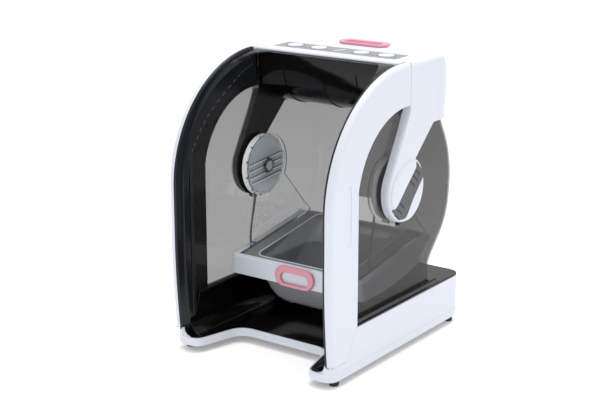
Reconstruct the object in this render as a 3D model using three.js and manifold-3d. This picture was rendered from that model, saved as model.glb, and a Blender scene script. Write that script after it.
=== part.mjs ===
// Hooded rocking tray machine: a benchtop appliance with two white arched side frames, a smoked
// drum-shaped hood, a head with touch buttons, and a cradle that hangs from two hub discs and
// rocks a pull-out tray. Millimetres, +Z up, +Y to the rear, +X to the right of somebody standing in
// front of it. The origin is on the bench below the middle of the machine.
import * as THREE from 'three';
import Module from 'manifold-3d';
import { mergeVertices } from 'three/addons/utils/BufferGeometryUtils.js';

const wasm = await Module();
wasm.setup();

// ---------------------------------------------------------------- driving dimensions
const gap = 0.3;                       // clearance where two pieces rest on each other
const reach = 400;                     // longer than the machine, for cutting bodies
const halfWidth = 170;                 // outer face of a side frame
const frameInner = 154.9;              // inner face of a side frame
const hub = { y: 13.5, z: 298 };       // axis of the rocking cradle
const frameReach = { y: 231, z: 219 }; // half axes of the side frames' outer ellipse about the hub
const windowReach = { y: 150, z: 145 }; // half axes of the D-shaped windows in the side frames
const windowFront = hub.y - 147;       // upright front edge of that window
const skin = 3;                        // wall of the moulded covers
const edge = { depth: 8, width: 10 };  // rounding of the covers' outer edges

const headTop = hub.z + frameReach.z;  // flat top of the machine
const headBottom = 405;
const headFront = hub.y - 6;           // front edge of the head's top between the frames
const headSeam = hub.y + 8;            // joint between side frame and head
const headRear = hub.y + 163;
const headCorner = 48;                 // plan radius of the head's rear corners
const hoodCorner = 20;                 // radius between the hood's sides and its rear wall

const footHeight = 12;
const lipTop = 27.5;                   // low front lip of the base
const toeTop = 40;                     // where a side frame stands on the base's toe
const toeBend = hub.y - 190;           // where the joint below a frame levels out on the toe
const deckTop = 95.3;                  // black deck beside and behind the hood
const railTop = deckTop + 3.9;         // raised rail of the deck along each side
const baseTop = 92;
const baseRear = hub.y + 204;
const baseFront = hub.y - 224;
const wellRear = hub.y + 106;          // rear wall of the well that the tray swings in

const hoodOuter = 154.5;               // smoked hood, half width
const hoodInner = 151.5;
const trimInner = 148;                 // black border plates inside the opening
const trimDepth = 27;

const bossRadius = 58;
const bossFace = 172;
const shaftRadius = 9;
const discRadius = 53;
const flangeRadius = 48;

const tilt = THREE.MathUtils.degToRad(9); // the cradle rests swung back, its tray front low
const trayHalf = 146;                  // half width of the tray's white front
const trayFront = -120;                // tray levels and lengths are measured from the hub
const trayRear = 104;
const trayTop = -134;
const binBottom = -226;

// ---------------------------------------------------------------- materials
const material = (color, roughness, metalness = 0, opacity = 1) => new THREE.MeshStandardMaterial({
  color, roughness, metalness, opacity, transparent: opacity < 1,
});
const looks = {
  white: () => material(0xe9ecf3, 0.3),
  black: () => material(0x0c0c0e, 0.18),
  smoke: () => material(0x6f6e6c, 0.08, 0, 0.55),
  clear: () => material(0xdfe6ec, 0.05, 0, 0.3),
  frosted: () => material(0xa9abad, 0.25, 0, 0.7),
  grey: () => material(0x4c4d50, 0.5),
  panel: () => material(0xbfc0bb, 0.4, 0.3),
  pink: () => material(0xf4a9bd, 0.35),
  rubber: () => material(0x151515, 0.9),
  steel: () => material(0xb9bcc0, 0.3, 1),
  board: () => material(0x1f5c3a, 0.6),
};

// ---------------------------------------------------------------- solids
function toSolid(geometry) {
  const bare = geometry.clone();
  bare.deleteAttribute('normal');
  bare.deleteAttribute('uv');
  const merged = mergeVertices(bare, 1e-4);
  return new wasm.Manifold(new wasm.Mesh({
    numProp: 3,
    vertProperties: new Float32Array(merged.attributes.position.array),
    triVerts: new Uint32Array(merged.index.array),
  }));
}

function toGeometry(solid) {
  const mesh = solid.getMesh();
  const geometry = new THREE.BufferGeometry();
  geometry.setAttribute('position', new THREE.BufferAttribute(mesh.vertProperties, 3));
  geometry.setIndex(new THREE.BufferAttribute(mesh.triVerts, 1));
  geometry.computeVertexNormals();
  return geometry;
}

const axisX = new THREE.Vector3(1, 0, 0);
const axisY = new THREE.Vector3(0, 1, 0);
const axisZ = new THREE.Vector3(0, 0, 1);

// Extrudes a shape between two planes; rounding = { depth, width } rounds the edges of both ends.
function extrude(shape, basis, from, to, segments, rounding) {
  const depth = rounding ? rounding.depth : 0;
  const geometry = new THREE.ExtrudeGeometry(shape, {
    depth: to - from - 2 * depth,
    curveSegments: segments,
    bevelEnabled: Boolean(rounding),
    bevelThickness: depth,
    bevelSize: rounding ? rounding.width : 0,
    bevelOffset: rounding ? -rounding.width : 0,
    bevelSegments: 2,
  });
  geometry.translate(0, 0, from + depth);
  geometry.applyMatrix4(basis);
  return toSolid(geometry);
}

const basisX = new THREE.Matrix4().makeBasis(axisY, axisZ, axisX);
const basisY = new THREE.Matrix4().makeBasis(axisZ, axisX, axisY);
const basisZ = new THREE.Matrix4();
const extruder = (basis) => (shape, from, to, segments = 8, rounding = null) => (
  extrude(shape, basis, from, to, segments, rounding)
);
// shapes for alongX are drawn as (y, z), for alongY as (z, x) and for alongZ as (x, y)
const alongX = extruder(basisX);
const alongY = extruder(basisY);
const alongZ = extruder(basisZ);

// A closed outline through [a, b, radius] corners, each rounded by a curve of that size.
function outline(corners) {
  const shape = new THREE.Shape();
  corners.forEach(([a, b, radius = 0], index) => {
    const corner = new THREE.Vector2(a, b);
    const previous = new THREE.Vector2(...corners.at(index - 1));
    const next = new THREE.Vector2(...corners[(index + 1) % corners.length]);
    const entry = previous.sub(corner).setLength(radius).add(corner);
    const exit = next.sub(corner).setLength(radius).add(corner);
    if (index === 0) shape.moveTo(entry.x, entry.y);
    else shape.lineTo(entry.x, entry.y);
    if (radius > 0) shape.quadraticCurveTo(corner.x, corner.y, exit.x, exit.y);
  });
  return shape;
}

const rectangle = (a0, a1, b0, b1, radius = 0) => outline([
  [a0, b0, radius], [a1, b0, radius], [a1, b1, radius], [a0, b1, radius],
]);

function circle(a, b, radius) {
  const shape = new THREE.Shape();
  shape.absarc(a, b, radius, 0, 2 * Math.PI, false);
  return shape;
}

function stadium(a, b, length, height) {
  const half = (length - height) / 2;
  const shape = new THREE.Shape();
  shape.absarc(a + half, b, height / 2, -Math.PI / 2, Math.PI / 2, false);
  shape.absarc(a - half, b, height / 2, Math.PI / 2, 3 * Math.PI / 2, false);
  return shape;
}

const box = (x0, x1, y0, y1, z0, z1) => alongZ(rectangle(x0, x1, y0, y1), z0, z1);
const discX = (y, z, radius, from, to, segments = 14) => (
  alongX(circle(y, z, radius), from, to, segments)
);
const ringX = (y, z, inner, outer, from, to, segments = 14) => discX(y, z, outer, from, to, segments)
  .subtract(discX(y, z, inner, from - 1, to + 1, segments));
const joined = (solids) => solids.reduce((total, solid) => total.add(solid));
const mirrored = (solid) => solid.mirror([1, 0, 0]);

const model = new THREE.Group();
const cradle = new THREE.Group();
cradle.position.set(0, hub.y, hub.z);
cradle.rotation.x = tilt;
model.add(cradle);

function place(name, solid, look, parent = model) {
  const mesh = new THREE.Mesh(toGeometry(solid), looks[look]());
  mesh.name = name;
  parent.add(mesh);
}

// Places a right-hand piece and its mirror image.
function placePair(name, solid, look, parent = model) {
  place(`${name}_right`, solid, look, parent);
  place(`${name}_left`, mirrored(solid), look, parent);
}

// ---------------------------------------------------------------- base
// Plan of the base: a U whose two toes reach forward beside a recess for the tray.
function basePlan(inset) {
  const side = halfWidth - inset;
  const toe = { outer: 26, inner: 18, x: 118 + inset, y: baseFront + inset };
  const recess = { x: 94 + inset, y: hub.y - 127 + inset, radius: 26 };
  return outline([
    [side, baseRear - inset, 26], [-side, baseRear - inset, 26],
    [-side, toe.y, toe.outer], [-toe.x, toe.y, toe.inner], [-recess.x, recess.y, recess.radius],
    [recess.x, recess.y, recess.radius], [toe.x, toe.y, toe.inner], [side, toe.y, toe.outer],
  ]);
}

// Draws the curved joint from a window's sill down and forward on to the toe.
function drawFootJoint(shape, forward, up) {
  const sill = windowFront - 4 - forward;
  shape.lineTo(sill, baseTop + up);
  shape.bezierCurveTo(sill - 17, baseTop - 12 + up, sill - 15, toeTop + up, toeBend, toeTop + up);
}

// The space above the base where a side frame stands, raised by an offset.
function seamCut(offset) {
  const shape = new THREE.Shape();
  shape.moveTo(windowFront + offset, reach);
  shape.lineTo(windowFront + offset, baseTop + offset);
  drawFootJoint(shape, 0, offset);
  shape.lineTo(-reach, toeTop + offset);
  shape.lineTo(-reach, reach);
  return shape;
}

const inlet = { x: -112, z: 48, width: 30, height: 22 };

function baseShell() {
  const walls = alongZ(basePlan(0), footHeight, baseTop, 5)
    .subtract(alongZ(basePlan(skin), footHeight - 1, baseTop + 1, 5));
  const openFront = box(-152.5, 152.5, -reach, hub.y - 100, lipTop, reach);
  const inletHole = alongY(rectangle(inlet.z - inlet.height / 2, inlet.z + inlet.height / 2,
    inlet.x - inlet.width / 2, inlet.x + inlet.width / 2, 3), baseRear - 10, baseRear + 10, 2);
  return walls.subtract(openFront)
    .subtract(alongX(seamCut(-gap), -reach, reach, 10))
    .subtract(inletHole);
}

function bottomPlate() {
  const plate = alongZ(basePlan(skin + gap), footHeight, footHeight + 2.5, 5);
  const vent = { half: 40, y: hub.y + 150, width: 4, pitch: 9 };
  const vents = [];
  for (let slot = -4; slot <= 4; slot += 1) {
    const front = vent.y + slot * vent.pitch;
    vents.push(box(-vent.half, vent.half, front, front + vent.width, footHeight - 1, footHeight + 4));
  }
  return plate.subtract(joined(vents));
}

function tubLiner() {
  const under = lipTop - 3.5;
  const side = hoodInner - gap;
  const floor = alongZ(basePlan(skin + gap), under, lipTop - 0.2, 5)
    .subtract(box(-reach, reach, wellRear, reach, 0, 50));
  const sideWall = box(trimInner, side, toeBend, wellRear, under, railTop);
  const rearWall = box(-side, side, wellRear - skin, wellRear, under, deckTop);
  const deck = alongZ(basePlan(gap), baseTop + gap, deckTop, 5)
    .subtract(box(-trimInner, trimInner, -reach, wellRear - skin, 0, reach))
    .subtract(box(-reach, reach, -reach, windowFront + 1, 0, reach));
  const lowRail = deckTop + 1.6;
  const step = alongY(outline([
    [deckTop - 1, trimInner], [railTop, trimInner], [railTop, 157.5], [lowRail, 159.5, 1],
    [lowRail, 164.5, 1], [deckTop - 1, 166],
  ]), windowFront + 1, wellRear + 8, 2);
  return joined([floor, rearWall, deck, sideWall, mirrored(sideWall), step, mirrored(step)]);
}

place('base_shell', baseShell(), 'white');
place('bottom_plate', bottomPlate(), 'grey');
place('tub_liner', tubLiner(), 'black');

const footPlaces = { front: hub.y - 196, rear: hub.y + 184 };
for (const [end, y] of Object.entries(footPlaces)) {
  const profile = [[0, 0], [7.5, 0], [8.5, 1], [9, footHeight - gap], [0, footHeight - gap]];
  const foot = new THREE.LatheGeometry(profile.map(([r, z]) => new THREE.Vector2(r, z)), 20);
  foot.rotateX(Math.PI / 2);
  foot.translate(155, y, 0);
  placePair(`foot_${end}`, toSolid(foot), 'rubber');
}

// ---------------------------------------------------------------- side frames and border plates
// Draws the front edge of the side frames from the toe up and round to a rear limit in y.
function drawFrameFront(shape, foot, inset, rear) {
  const half = { y: frameReach.y - inset, z: frameReach.z - inset };
  const front = hub.y - half.y;
  shape.moveTo(baseFront + 2 + inset, foot);
  shape.lineTo(baseFront + 2 + inset, toeTop + inset);
  shape.quadraticCurveTo(front, hub.z - 170, front, hub.z - 100);
  shape.lineTo(front, hub.z);
  shape.absellipse(hub.y, hub.z, half.y, half.z, Math.PI, Math.acos((rear - hub.y) / half.y), true, 0);
}

function frameShape(inset) {
  const shape = new THREE.Shape();
  const window = { y: windowReach.y + inset, z: windowReach.z + inset };
  const seam = headSeam - gap - inset;
  drawFrameFront(shape, toeTop + inset - 0.01, inset, seam);
  const start = Math.acos((seam - hub.y) / window.y);
  shape.absellipse(hub.y, hub.z, window.y, window.z, start, Math.PI, false, 0);
  shape.lineTo(windowFront - inset, baseTop + inset);
  drawFootJoint(shape, inset, inset);
  return shape;
}

// The frame before its window is cut, so that only its outer edge is rounded.
function frameBlank() {
  const shape = new THREE.Shape();
  const overrun = { down: 30, rear: 60 };
  drawFrameFront(shape, toeTop - overrun.down, 0, hub.y);
  shape.lineTo(hub.y + overrun.rear, headTop);
  shape.lineTo(hub.y + overrun.rear, toeTop - overrun.down);
  return shape;
}

function sideFrame() {
  const blank = alongX(frameBlank(), frameInner - 2, halfWidth, 10, edge);
  const outer = alongX(frameShape(0), frameInner, halfWidth + 1, 10);
  const hollow = alongX(frameShape(skin + 12), frameInner - 1, halfWidth - skin, 8);
  const groove = rectangle(hub.y - 174.5, hub.y - 169.5, 238, 342, 2.4);
  return blank.intersect(outer)
    .subtract(hollow)
    .subtract(alongX(groove, halfWidth - 1.2, halfWidth + 1, 4));
}

// Black border plate: lines the inside of the opening from the lip up to the head.
function borderPlate() {
  const shape = new THREE.Shape();
  const front = { y: frameReach.y - 8, z: frameReach.z - 3 };
  const back = { y: front.y - trimDepth, z: front.z - trimDepth };
  const rear = headFront - 4;
  const angleAt = (half) => Math.acos((rear - hub.y) / half.y);
  shape.moveTo(hub.y - front.y + 5, lipTop + 0.1);
  shape.lineTo(hub.y - front.y, hub.z - 100);
  shape.lineTo(hub.y - front.y, hub.z);
  shape.absellipse(hub.y, hub.z, front.y, front.z, Math.PI, angleAt(front), true, 0);
  shape.lineTo(rear, hub.z + back.z * Math.sin(angleAt(back)));
  shape.absellipse(hub.y, hub.z, back.y, back.z, angleAt(back), Math.PI, false, 0);
  shape.lineTo(hub.y - back.y, 150);
  shape.quadraticCurveTo(hub.y - back.y, railTop + 0.1, hub.y - back.y + 26, railTop + gap);
  shape.lineTo(toeBend - gap, railTop + gap);
  shape.lineTo(toeBend - gap, lipTop + 0.1);
  return shape;
}

function sealStrip() {
  const width = 5;
  const line = [[-196, 62], [-196, 352], [-62, 470], [-14, 489]];
  const shape = new THREE.Shape();
  line.forEach(([y, z], index) => shape[index ? 'lineTo' : 'moveTo'](hub.y + y, z));
  line.reverse().forEach(([y, z]) => shape.lineTo(hub.y + y + width, z - width / 2));
  return alongX(shape, trimInner - 1.3, trimInner - gap, 2);
}

placePair('side_frame', sideFrame(), 'white');
placePair('border_plate', alongX(borderPlate(), trimInner, hoodInner - gap, 13), 'black');
placePair('seal_strip', sealStrip(), 'grey');

// ---------------------------------------------------------------- smoked hood
// Rear curve of the hood in side view, from inside the head down to the deck.
function hoodCurve(inset) {
  const points = [[146, 440], [152, 402], [179, 350], [192, 300], [192, 262], [186, 222], [170, 188],
    [143, 156], [118, 132], [110, 110], [109, 40]];
  return points.map(([y, z]) => new THREE.Vector2(hub.y + y - inset, z));
}

function hoodShape(inset, overrun) {
  const shape = new THREE.Shape();
  shape.moveTo(-reach + overrun, 40);
  shape.lineTo(-reach + overrun, 540);
  shape.lineTo(hub.y + 144 - inset, 540);
  shape.splineThru(hoodCurve(inset));
  return shape;
}

function hoodRegion() {
  const arc = frameReach.z - 7;
  const shape = new THREE.Shape();
  const ceiling = 478;
  shape.moveTo(hub.y - arc, railTop + gap);
  shape.lineTo(hub.y - arc, hub.z);
  shape.absarc(hub.y, hub.z, arc, Math.PI, Math.PI - Math.asin((ceiling - hub.z) / arc), true);
  shape.lineTo(reach, ceiling);
  shape.lineTo(reach, deckTop + gap);
  shape.lineTo(wellRear + 8.2, deckTop + gap);
  shape.lineTo(wellRear + 8.2, railTop + gap);
  return shape;
}

function rearHood() {
  const wall = (inset, overrun) => {
    const rounding = { depth: hoodCorner - inset, width: hoodCorner - inset };
    return alongX(hoodShape(inset, overrun), -hoodOuter + inset, hoodOuter - inset, 3, rounding);
  };
  const outer = wall(0, 50);
  const inner = wall(skin, 0);
  const portShape = rectangle(152, 212, -52, 52, 12);
  const port = alongY(portShape, hub.y + 60, reach, 3);
  const hubHole = discX(hub.y, hub.z, 17, -reach / 2, reach / 2, 12);
  return outer.intersect(alongX(hoodRegion(), -reach, reach, 12))
    .subtract(inner)
    .subtract(port)
    .subtract(hubHole);
}

// Smoked upper corners of the opening, joined along the head's front edge.
function visor() {
  const side = trimInner - gap;
  const rear = headFront - gap;
  const shape = new THREE.Shape();
  shape.moveTo(-side, rear);
  shape.lineTo(-side, rear - 78);
  shape.quadraticCurveTo(-side + 14, rear - 8, -side + 44, rear - 5);
  shape.lineTo(side - 44, rear - 5);
  shape.quadraticCurveTo(side - 14, rear - 8, side, rear - 78);
  shape.lineTo(side, rear);
  const shell = ringX(hub.y, hub.z, frameReach.z - 6, frameReach.z - 3.4, -side, side, 64);
  return alongZ(shape, hub.z + 100, reach * 2, 5).intersect(shell);
}

place('rear_hood', rearHood(), 'smoke');
place('visor', visor(), 'smoke');

// ---------------------------------------------------------------- head
const panelArea = { y: hub.y + 44, length: 256, width: 48 };
const buttonPlaces = [-97, -45, 45, 97];
const buttonRadius = 15;
const displayBar = { length: 22, width: 5 };
const handle = {
  topLength: 104, trayLength: 84, width: 38, thick: 5, hole: { shorter: 24, width: 20, drop: 3 },
  y: hub.y + 124,
};
const lugPlaces = [-19, 19];

function headProfile(inset, drop) {
  return outline([
    [hub.y - 60 + inset, headTop - inset], [headRear - inset, headTop - inset, 44],
    [headRear - inset, 437, 8], [hub.y + 149 - inset, 421, 8],
    [hub.y + 158 - inset, 402, 0], [hub.y + 158 - inset, 340 - drop], [hub.y - 60 + inset, 340 - drop],
  ]);
}

// Side view of the head with the roots of its two arms.
function headRegion() {
  const shape = new THREE.Shape();
  shape.moveTo(headSeam, reach * 2);
  shape.lineTo(headSeam, hub.z + 137);
  shape.lineTo(hub.y - 7, headBottom);
  shape.lineTo(reach, headBottom - 3);
  shape.lineTo(reach, reach * 2);
  return shape;
}

const panelRecess = (clearance, from, to) => alongZ(
  rectangle(-panelArea.length / 2 - clearance, panelArea.length / 2 + clearance,
    panelArea.y - panelArea.width / 2 - clearance, panelArea.y + panelArea.width / 2 + clearance, 3),
  from, to, 5);
const buttonHole = (x, radius, from, to) => alongZ(circle(x, panelArea.y, radius), from, to, 12);

function slantedBar(clearance, from, to) {
  const half = { length: displayBar.length / 2 + clearance, width: displayBar.width / 2 + clearance };
  const lean = 4;
  return alongZ(outline([
    [-half.width - lean, panelArea.y - half.length], [half.width - lean, panelArea.y - half.length],
    [half.width + lean, panelArea.y + half.length], [-half.width + lean, panelArea.y + half.length],
  ]), from, to);
}

function headCover() {
  const plan = (inset) => alongZ(outline([
    [halfWidth - inset, -reach], [halfWidth - inset, headRear - inset, (headCorner - inset) * 0.8],
    [-halfWidth + inset, headRear - inset, (headCorner - inset) * 0.8], [-halfWidth + inset, -reach],
  ]), 0, reach * 2, 5);
  const outer = alongX(headProfile(0, 20), -halfWidth, halfWidth, 8, edge)
    .intersect(plan(0))
    .intersect(alongX(headRegion(), -reach, reach, 6));
  const inner = alongX(headProfile(skin, 0), -halfWidth + skin, halfWidth - skin, 8,
    { depth: edge.depth - skin, width: edge.width - skin }).intersect(plan(skin));
  const innerFront = box(-frameInner, frameInner, -reach, headSeam + 10, 300, headTop - skin);
  const lip = alongX(outline([
    [headFront, headTop - 12, 0], [headFront, headTop, 5], [headSeam + 5, headTop],
    [headSeam + 5, headTop - skin], [headFront + skin, headTop - skin], [headFront + skin, headTop - 12],
  ]), -frameInner + gap, frameInner - gap, 3);
  let cover = outer.subtract(inner).subtract(innerFront).add(lip);
  cover = cover.subtract(panelRecess(gap, headTop - 1.6, reach * 2));
  for (const x of buttonPlaces) cover = cover.subtract(buttonHole(x, buttonRadius + 0.7, 400, reach * 2));
  for (const x of lugPlaces) {
    const rear = handle.y + handle.width / 2;
    cover = cover.subtract(box(x - 3.6, x + 3.6, rear - 8.5, rear + 3.5, 400, reach * 2));
  }
  return cover;
}

function controlPanel() {
  let strip = panelRecess(0, headTop - 1.3, headTop + 0.4);
  for (const x of buttonPlaces) strip = strip.subtract(buttonHole(x, buttonRadius + 0.7, 400, reach * 2));
  return strip.subtract(slantedBar(gap, headTop - 0.3, reach * 2));
}

// Black moulding that closes the head's underside above the tray, with upright stiffening ribs.
function headLiner() {
  const shape = new THREE.Shape();
  const brow = { y: headFront + skin + gap, z: headTop - skin - gap };
  shape.moveTo(headFront + skin + gap, headTop - 12);
  shape.lineTo(brow.y, brow.z);
  shape.lineTo(brow.y + 3, brow.z);
  shape.lineTo(brow.y + 3, headTop - 24);
  shape.quadraticCurveTo(hub.y + 20, headBottom + 14, hub.y + 84, headBottom + 3);
  shape.lineTo(hub.y + 140, headBottom - 1);
  shape.lineTo(hub.y + 140, headBottom - 4);
  shape.lineTo(hub.y + 84, headBottom);
  shape.quadraticCurveTo(hub.y + 16, headBottom + 12, headFront + 2, headTop - 26);
  const sheet = alongX(shape, -trimInner + gap, trimInner - gap, 8);
  const rib = new THREE.Shape();
  rib.moveTo(headFront + 3, headTop - 27);
  rib.quadraticCurveTo(hub.y + 17, headBottom + 12, hub.y + 84, headBottom + 1);
  rib.lineTo(hub.y + 78, headBottom - 4);
  rib.quadraticCurveTo(hub.y + 10, headBottom + 8, headFront + 1, headTop - 27);
  const ribs = [-112, -70, -26, 26, 70, 112].map((x) => alongX(rib, x - 1.5, x + 1.5, 8));
  return joined([sheet, ...ribs]);
}

function controlBoard() {
  const level = headTop - 15;
  const board = box(-118, 118, panelArea.y - 18, panelArea.y + 18, level, level + 1.6);
  const switches = buttonPlaces.map((x) => box(x - 4, x + 4, panelArea.y - 4, panelArea.y + 4,
    level + 1, level + 6));
  return joined([board, ...switches]);
}

function button(x) {
  const top = headTop + 1.2;
  const cap = buttonHole(x, buttonRadius, headTop - 4.4, top);
  const dish = buttonHole(x, 5.5, top - 0.5, top + 1);
  return cap.subtract(dish);
}

// Stadium-shaped pull ring with two hinge lugs on its back, drawn flat with its hinge side at +Y.
function pullRing(length) {
  const { hole, width, thick } = handle;
  const fingerHole = stadium(0, -hole.drop, length - hole.shorter, hole.width);
  const ring = alongZ(stadium(0, 0, length, width), 0, thick, 8)
    .subtract(alongZ(fingerHole, -1, thick + 1, 8));
  const lugs = lugPlaces.map((x) => box(x - 2.6, x + 2.6, width / 2 - 6, width / 2 - 0.8, -5, 1));
  return joined([ring, ...lugs]);
}

place('head_cover', headCover(), 'white');
place('head_liner', headLiner(), 'black');
place('control_panel', controlPanel(), 'panel');
place('display_bar', slantedBar(0, headTop, headTop + 0.8), 'clear');
place('control_board', controlBoard(), 'board');
buttonPlaces.forEach((x, index) => place(`button_${index + 1}`, button(x), 'white'));

const topHandle = new THREE.Group();
topHandle.position.set(0, handle.y, headTop + gap);
model.add(topHandle);
place('top_handle', pullRing(handle.topLength), 'pink', topHandle);

// ---------------------------------------------------------------- arms, hub and drive
// Side view of an arm: a tapering blade from the head down to the round hub boss.
function armShape(inset) {
  const top = headBottom - 4 - inset;
  const radius = bossRadius - inset;
  const shape = new THREE.Shape();
  shape.moveTo(hub.y + 92 - inset * 1.4, top);
  shape.lineTo(hub.y - 9 + inset, top);
  shape.absarc(hub.y, hub.z, radius, Math.PI - 0.51, 2 * Math.PI + 0.75, false);
  return shape;
}

function lobeShape() {
  const shape = new THREE.Shape();
  shape.moveTo(hub.y + 32, hub.z + 42);
  shape.quadraticCurveTo(hub.y + 34, hub.z + 30, hub.y + 28, hub.z + 20);
  shape.lineTo(hub.y - 14, hub.z - 38);
  shape.quadraticCurveTo(hub.y - 24, hub.z - 50, hub.y - 34, hub.z - 40);
  shape.bezierCurveTo(hub.y - 38, hub.z - 4, hub.y - 6, hub.z + 46, hub.y + 22, hub.z + 50);
  shape.quadraticCurveTo(hub.y + 30, hub.z + 51, hub.y + 32, hub.z + 42);
  return shape;
}

// The slanted band inlaid across a boss; its pocket is the same outline drawn a little larger.
function bandShape(size) {
  const middle = { y: hub.y + 12, z: hub.z - 12 };
  const corners = [[-46, -35, 3], [-22, -45, 8], [0, -28, 12], [43, 31, 6], [30, 51, 3]];
  return outline(corners.map(([y, z, radius]) => [middle.y + y * size, middle.z + z * size, radius * size]));
}

const bandFloor = bossFace - 1.5;

function arm() {
  const blade = alongX(armShape(0), frameInner, halfWidth, 10);
  const boss = alongX(circle(hub.y, hub.z, bossRadius), frameInner - 20, bossFace, 12, { depth: 6, width: 5 })
    .intersect(box(frameInner, reach, -reach, reach, 0, reach * 2));
  const lobe = alongX(lobeShape(), bossFace - 7, bossFace + 2, 6, { depth: 3, width: 3 });
  const bladeHollow = alongX(armShape(skin), frameInner - 1, halfWidth - skin, 10);
  const bossHollow = discX(hub.y, hub.z, bossRadius - skin, frameInner - 1, bossFace - skin - 1, 12);
  return joined([blade, boss, lobe])
    .subtract(bladeHollow)
    .subtract(bossHollow)
    .subtract(alongX(bandShape(1), bandFloor, reach, 4));
}

function gripBand() {
  const band = alongX(bandShape(0.96), bandFloor + gap, bossFace - 0.2, 4);
  const ribs = [];
  for (let step = -4; step <= 5; step += 1) {
    const y = hub.y + 12 + step * 6.2;
    const z = hub.z - 8 + step * 8.6;
    ribs.push(alongX(outline([[y - 9, z + 5], [y - 8, z + 7], [y + 9, z - 5], [y + 8, z - 7]]),
      bandFloor + 1, bossFace + 0.5, 1));
  }
  return band.add(joined(ribs).intersect(alongX(bandShape(0.93), 0, reach, 4)));
}

// A spur wheel: trapezoidal teeth on a disc, first tooth centred on the +Y side plus a turn.
function spurWheel(y, z, teeth, root, tip, turn, from, to) {
  const shape = new THREE.Shape();
  const pitch = 2 * Math.PI / teeth;
  for (let tooth = 0; tooth < teeth; tooth += 1) {
    const middle = turn + tooth * pitch;
    const corners = [[root, -0.3], [tip, -0.13], [tip, 0.13], [root, 0.3]];
    corners.forEach(([radius, share], corner) => {
      const angle = middle + share * pitch;
      const draw = tooth + corner ? 'lineTo' : 'moveTo';
      shape[draw](y + radius * Math.cos(angle), z + radius * Math.sin(angle));
    });
  }
  return alongX(shape, from, to, 1);
}

const gearSet = { teeth: 36, pinionTeeth: 9, distance: 50, from: 162.8, to: 166.6 };
const gearModule = 2 * gearSet.distance / (gearSet.teeth + gearSet.pinionTeeth);
const gearPitch = gearModule * gearSet.teeth / 2;
const pinionPitch = gearModule * gearSet.pinionTeeth / 2;
const tooth = { out: 0.8 * gearModule, in: 1.15 * gearModule };
const motorAngle = THREE.MathUtils.degToRad(72);
const motor = {
  y: hub.y + gearSet.distance * Math.cos(motorAngle),
  z: hub.z + gearSet.distance * Math.sin(motorAngle),
};

placePair('arm', arm(), 'white');
placePair('grip_band', gripBand(), 'grey');
placePair('hub_bearing', ringX(hub.y, hub.z, shaftRadius + 0.4, 16.6, hoodInner, hoodOuter + 4), 'steel');

const motorBody = discX(motor.y, motor.z, 22, frameInner + 0.4, gearSet.from - 1.4, 12);
const motorSpindle = discX(motor.y, motor.z, 2.2, gearSet.from - 2, gearSet.to + 0.6, 6);
place('drive_motor', motorBody.subtract(discX(hub.y, hub.z, 20, 100, 200)).add(motorSpindle), 'steel');

// the pinion's tooth space faces the hub, where a gear tooth fills it
const pinionTurn = motorAngle + Math.PI + Math.PI / gearSet.pinionTeeth;
const pinion = spurWheel(motor.y, motor.z, gearSet.pinionTeeth, pinionPitch - tooth.in,
  pinionPitch + tooth.out, pinionTurn, gearSet.from, gearSet.to);
place('drive_pinion', pinion.subtract(discX(motor.y, motor.z, 2.6, 100, 200, 6)), 'steel');

// Pieces in the cradle are drawn level, about the hub axis, and turned as one.
const gearTurn = motorAngle - tilt;
place('hub_gear', spurWheel(0, 0, gearSet.teeth, gearPitch - tooth.in, gearPitch + tooth.out, gearTurn,
  gearSet.from, gearSet.to).subtract(discX(0, 0, shaftRadius + gap, 100, 200)), 'steel', cradle);

// ---------------------------------------------------------------- cradle
const disc = { inner: 132, outer: 138.7 };
const plate = { inner: 127.6, outer: 130.6 };

function hubDisc() {
  let body = ringX(0, 0, shaftRadius + gap, discRadius, disc.inner + 2, disc.outer, 12);
  const face = ringX(0, 0, shaftRadius + gap, discRadius, disc.inner, disc.inner + 3, 12);
  const ribs = [-30, -18, -6, 6, 18, 30].map((offset) => alongX(
    rectangle(-60, 60, offset - 1.2, offset + 1.2), disc.inner, disc.inner + 3));
  const rimRing = ringX(0, 0, discRadius - 3, discRadius, disc.inner, disc.inner + 3, 12);
  const spin = THREE.MathUtils.radToDeg(tilt) + 24;
  body = body.add(joined(ribs).rotate([spin, 0, 0]).intersect(face)).add(rimRing);
  return body;
}

function discRim() {
  const ring = ringX(0, 0, discRadius + gap, 57.2, disc.inner + 2.5, disc.outer + 6, 12);
  const notches = [];
  for (let step = 0; step < 12; step += 1) {
    const notch = box(-reach, disc.inner + 5, -1.2, 1.2, 50, 60);
    notches.push(notch.rotate([step * 30 + 15, 0, 0]));
  }
  return ring.subtract(joined(notches));
}

// The clear plate that hangs from a disc and carries a tray rail on its lower edge.
function hangerShape() {
  const shape = new THREE.Shape();
  const radius = 59;
  shape.moveTo(-46, -38);
  shape.quadraticCurveTo(-58, -70, -72, -106);
  shape.quadraticCurveTo(-78, -128, -72, trayTop - 12);
  shape.lineTo(108, trayTop - 12);
  shape.lineTo(116, trayTop + 2);
  shape.quadraticCurveTo(104, trayTop + 14, 92, -100);
  shape.lineTo(52, -46);
  shape.absarc(0, 0, radius, -0.62, Math.PI + 0.69, false);
  return shape;
}

const carrierTop = trayTop - 12 - gap;

function hangerPlate() {
  const slot = outline([[30, -98, 1], [33, -98, 1], [52, -118, 1], [48, -120, 1], [34, -108, 4]]);
  return alongX(hangerShape(), plate.inner, plate.outer, 8)
    .subtract(discX(0, 0, shaftRadius + gap, 100, 200))
    .subtract(alongX(slot, 100, 200, 3));
}

const carrierRail = () => box(121, 137, -74, 108, carrierTop - 4, carrierTop);
const crossbar = { front: 112, rear: 117 };

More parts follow.
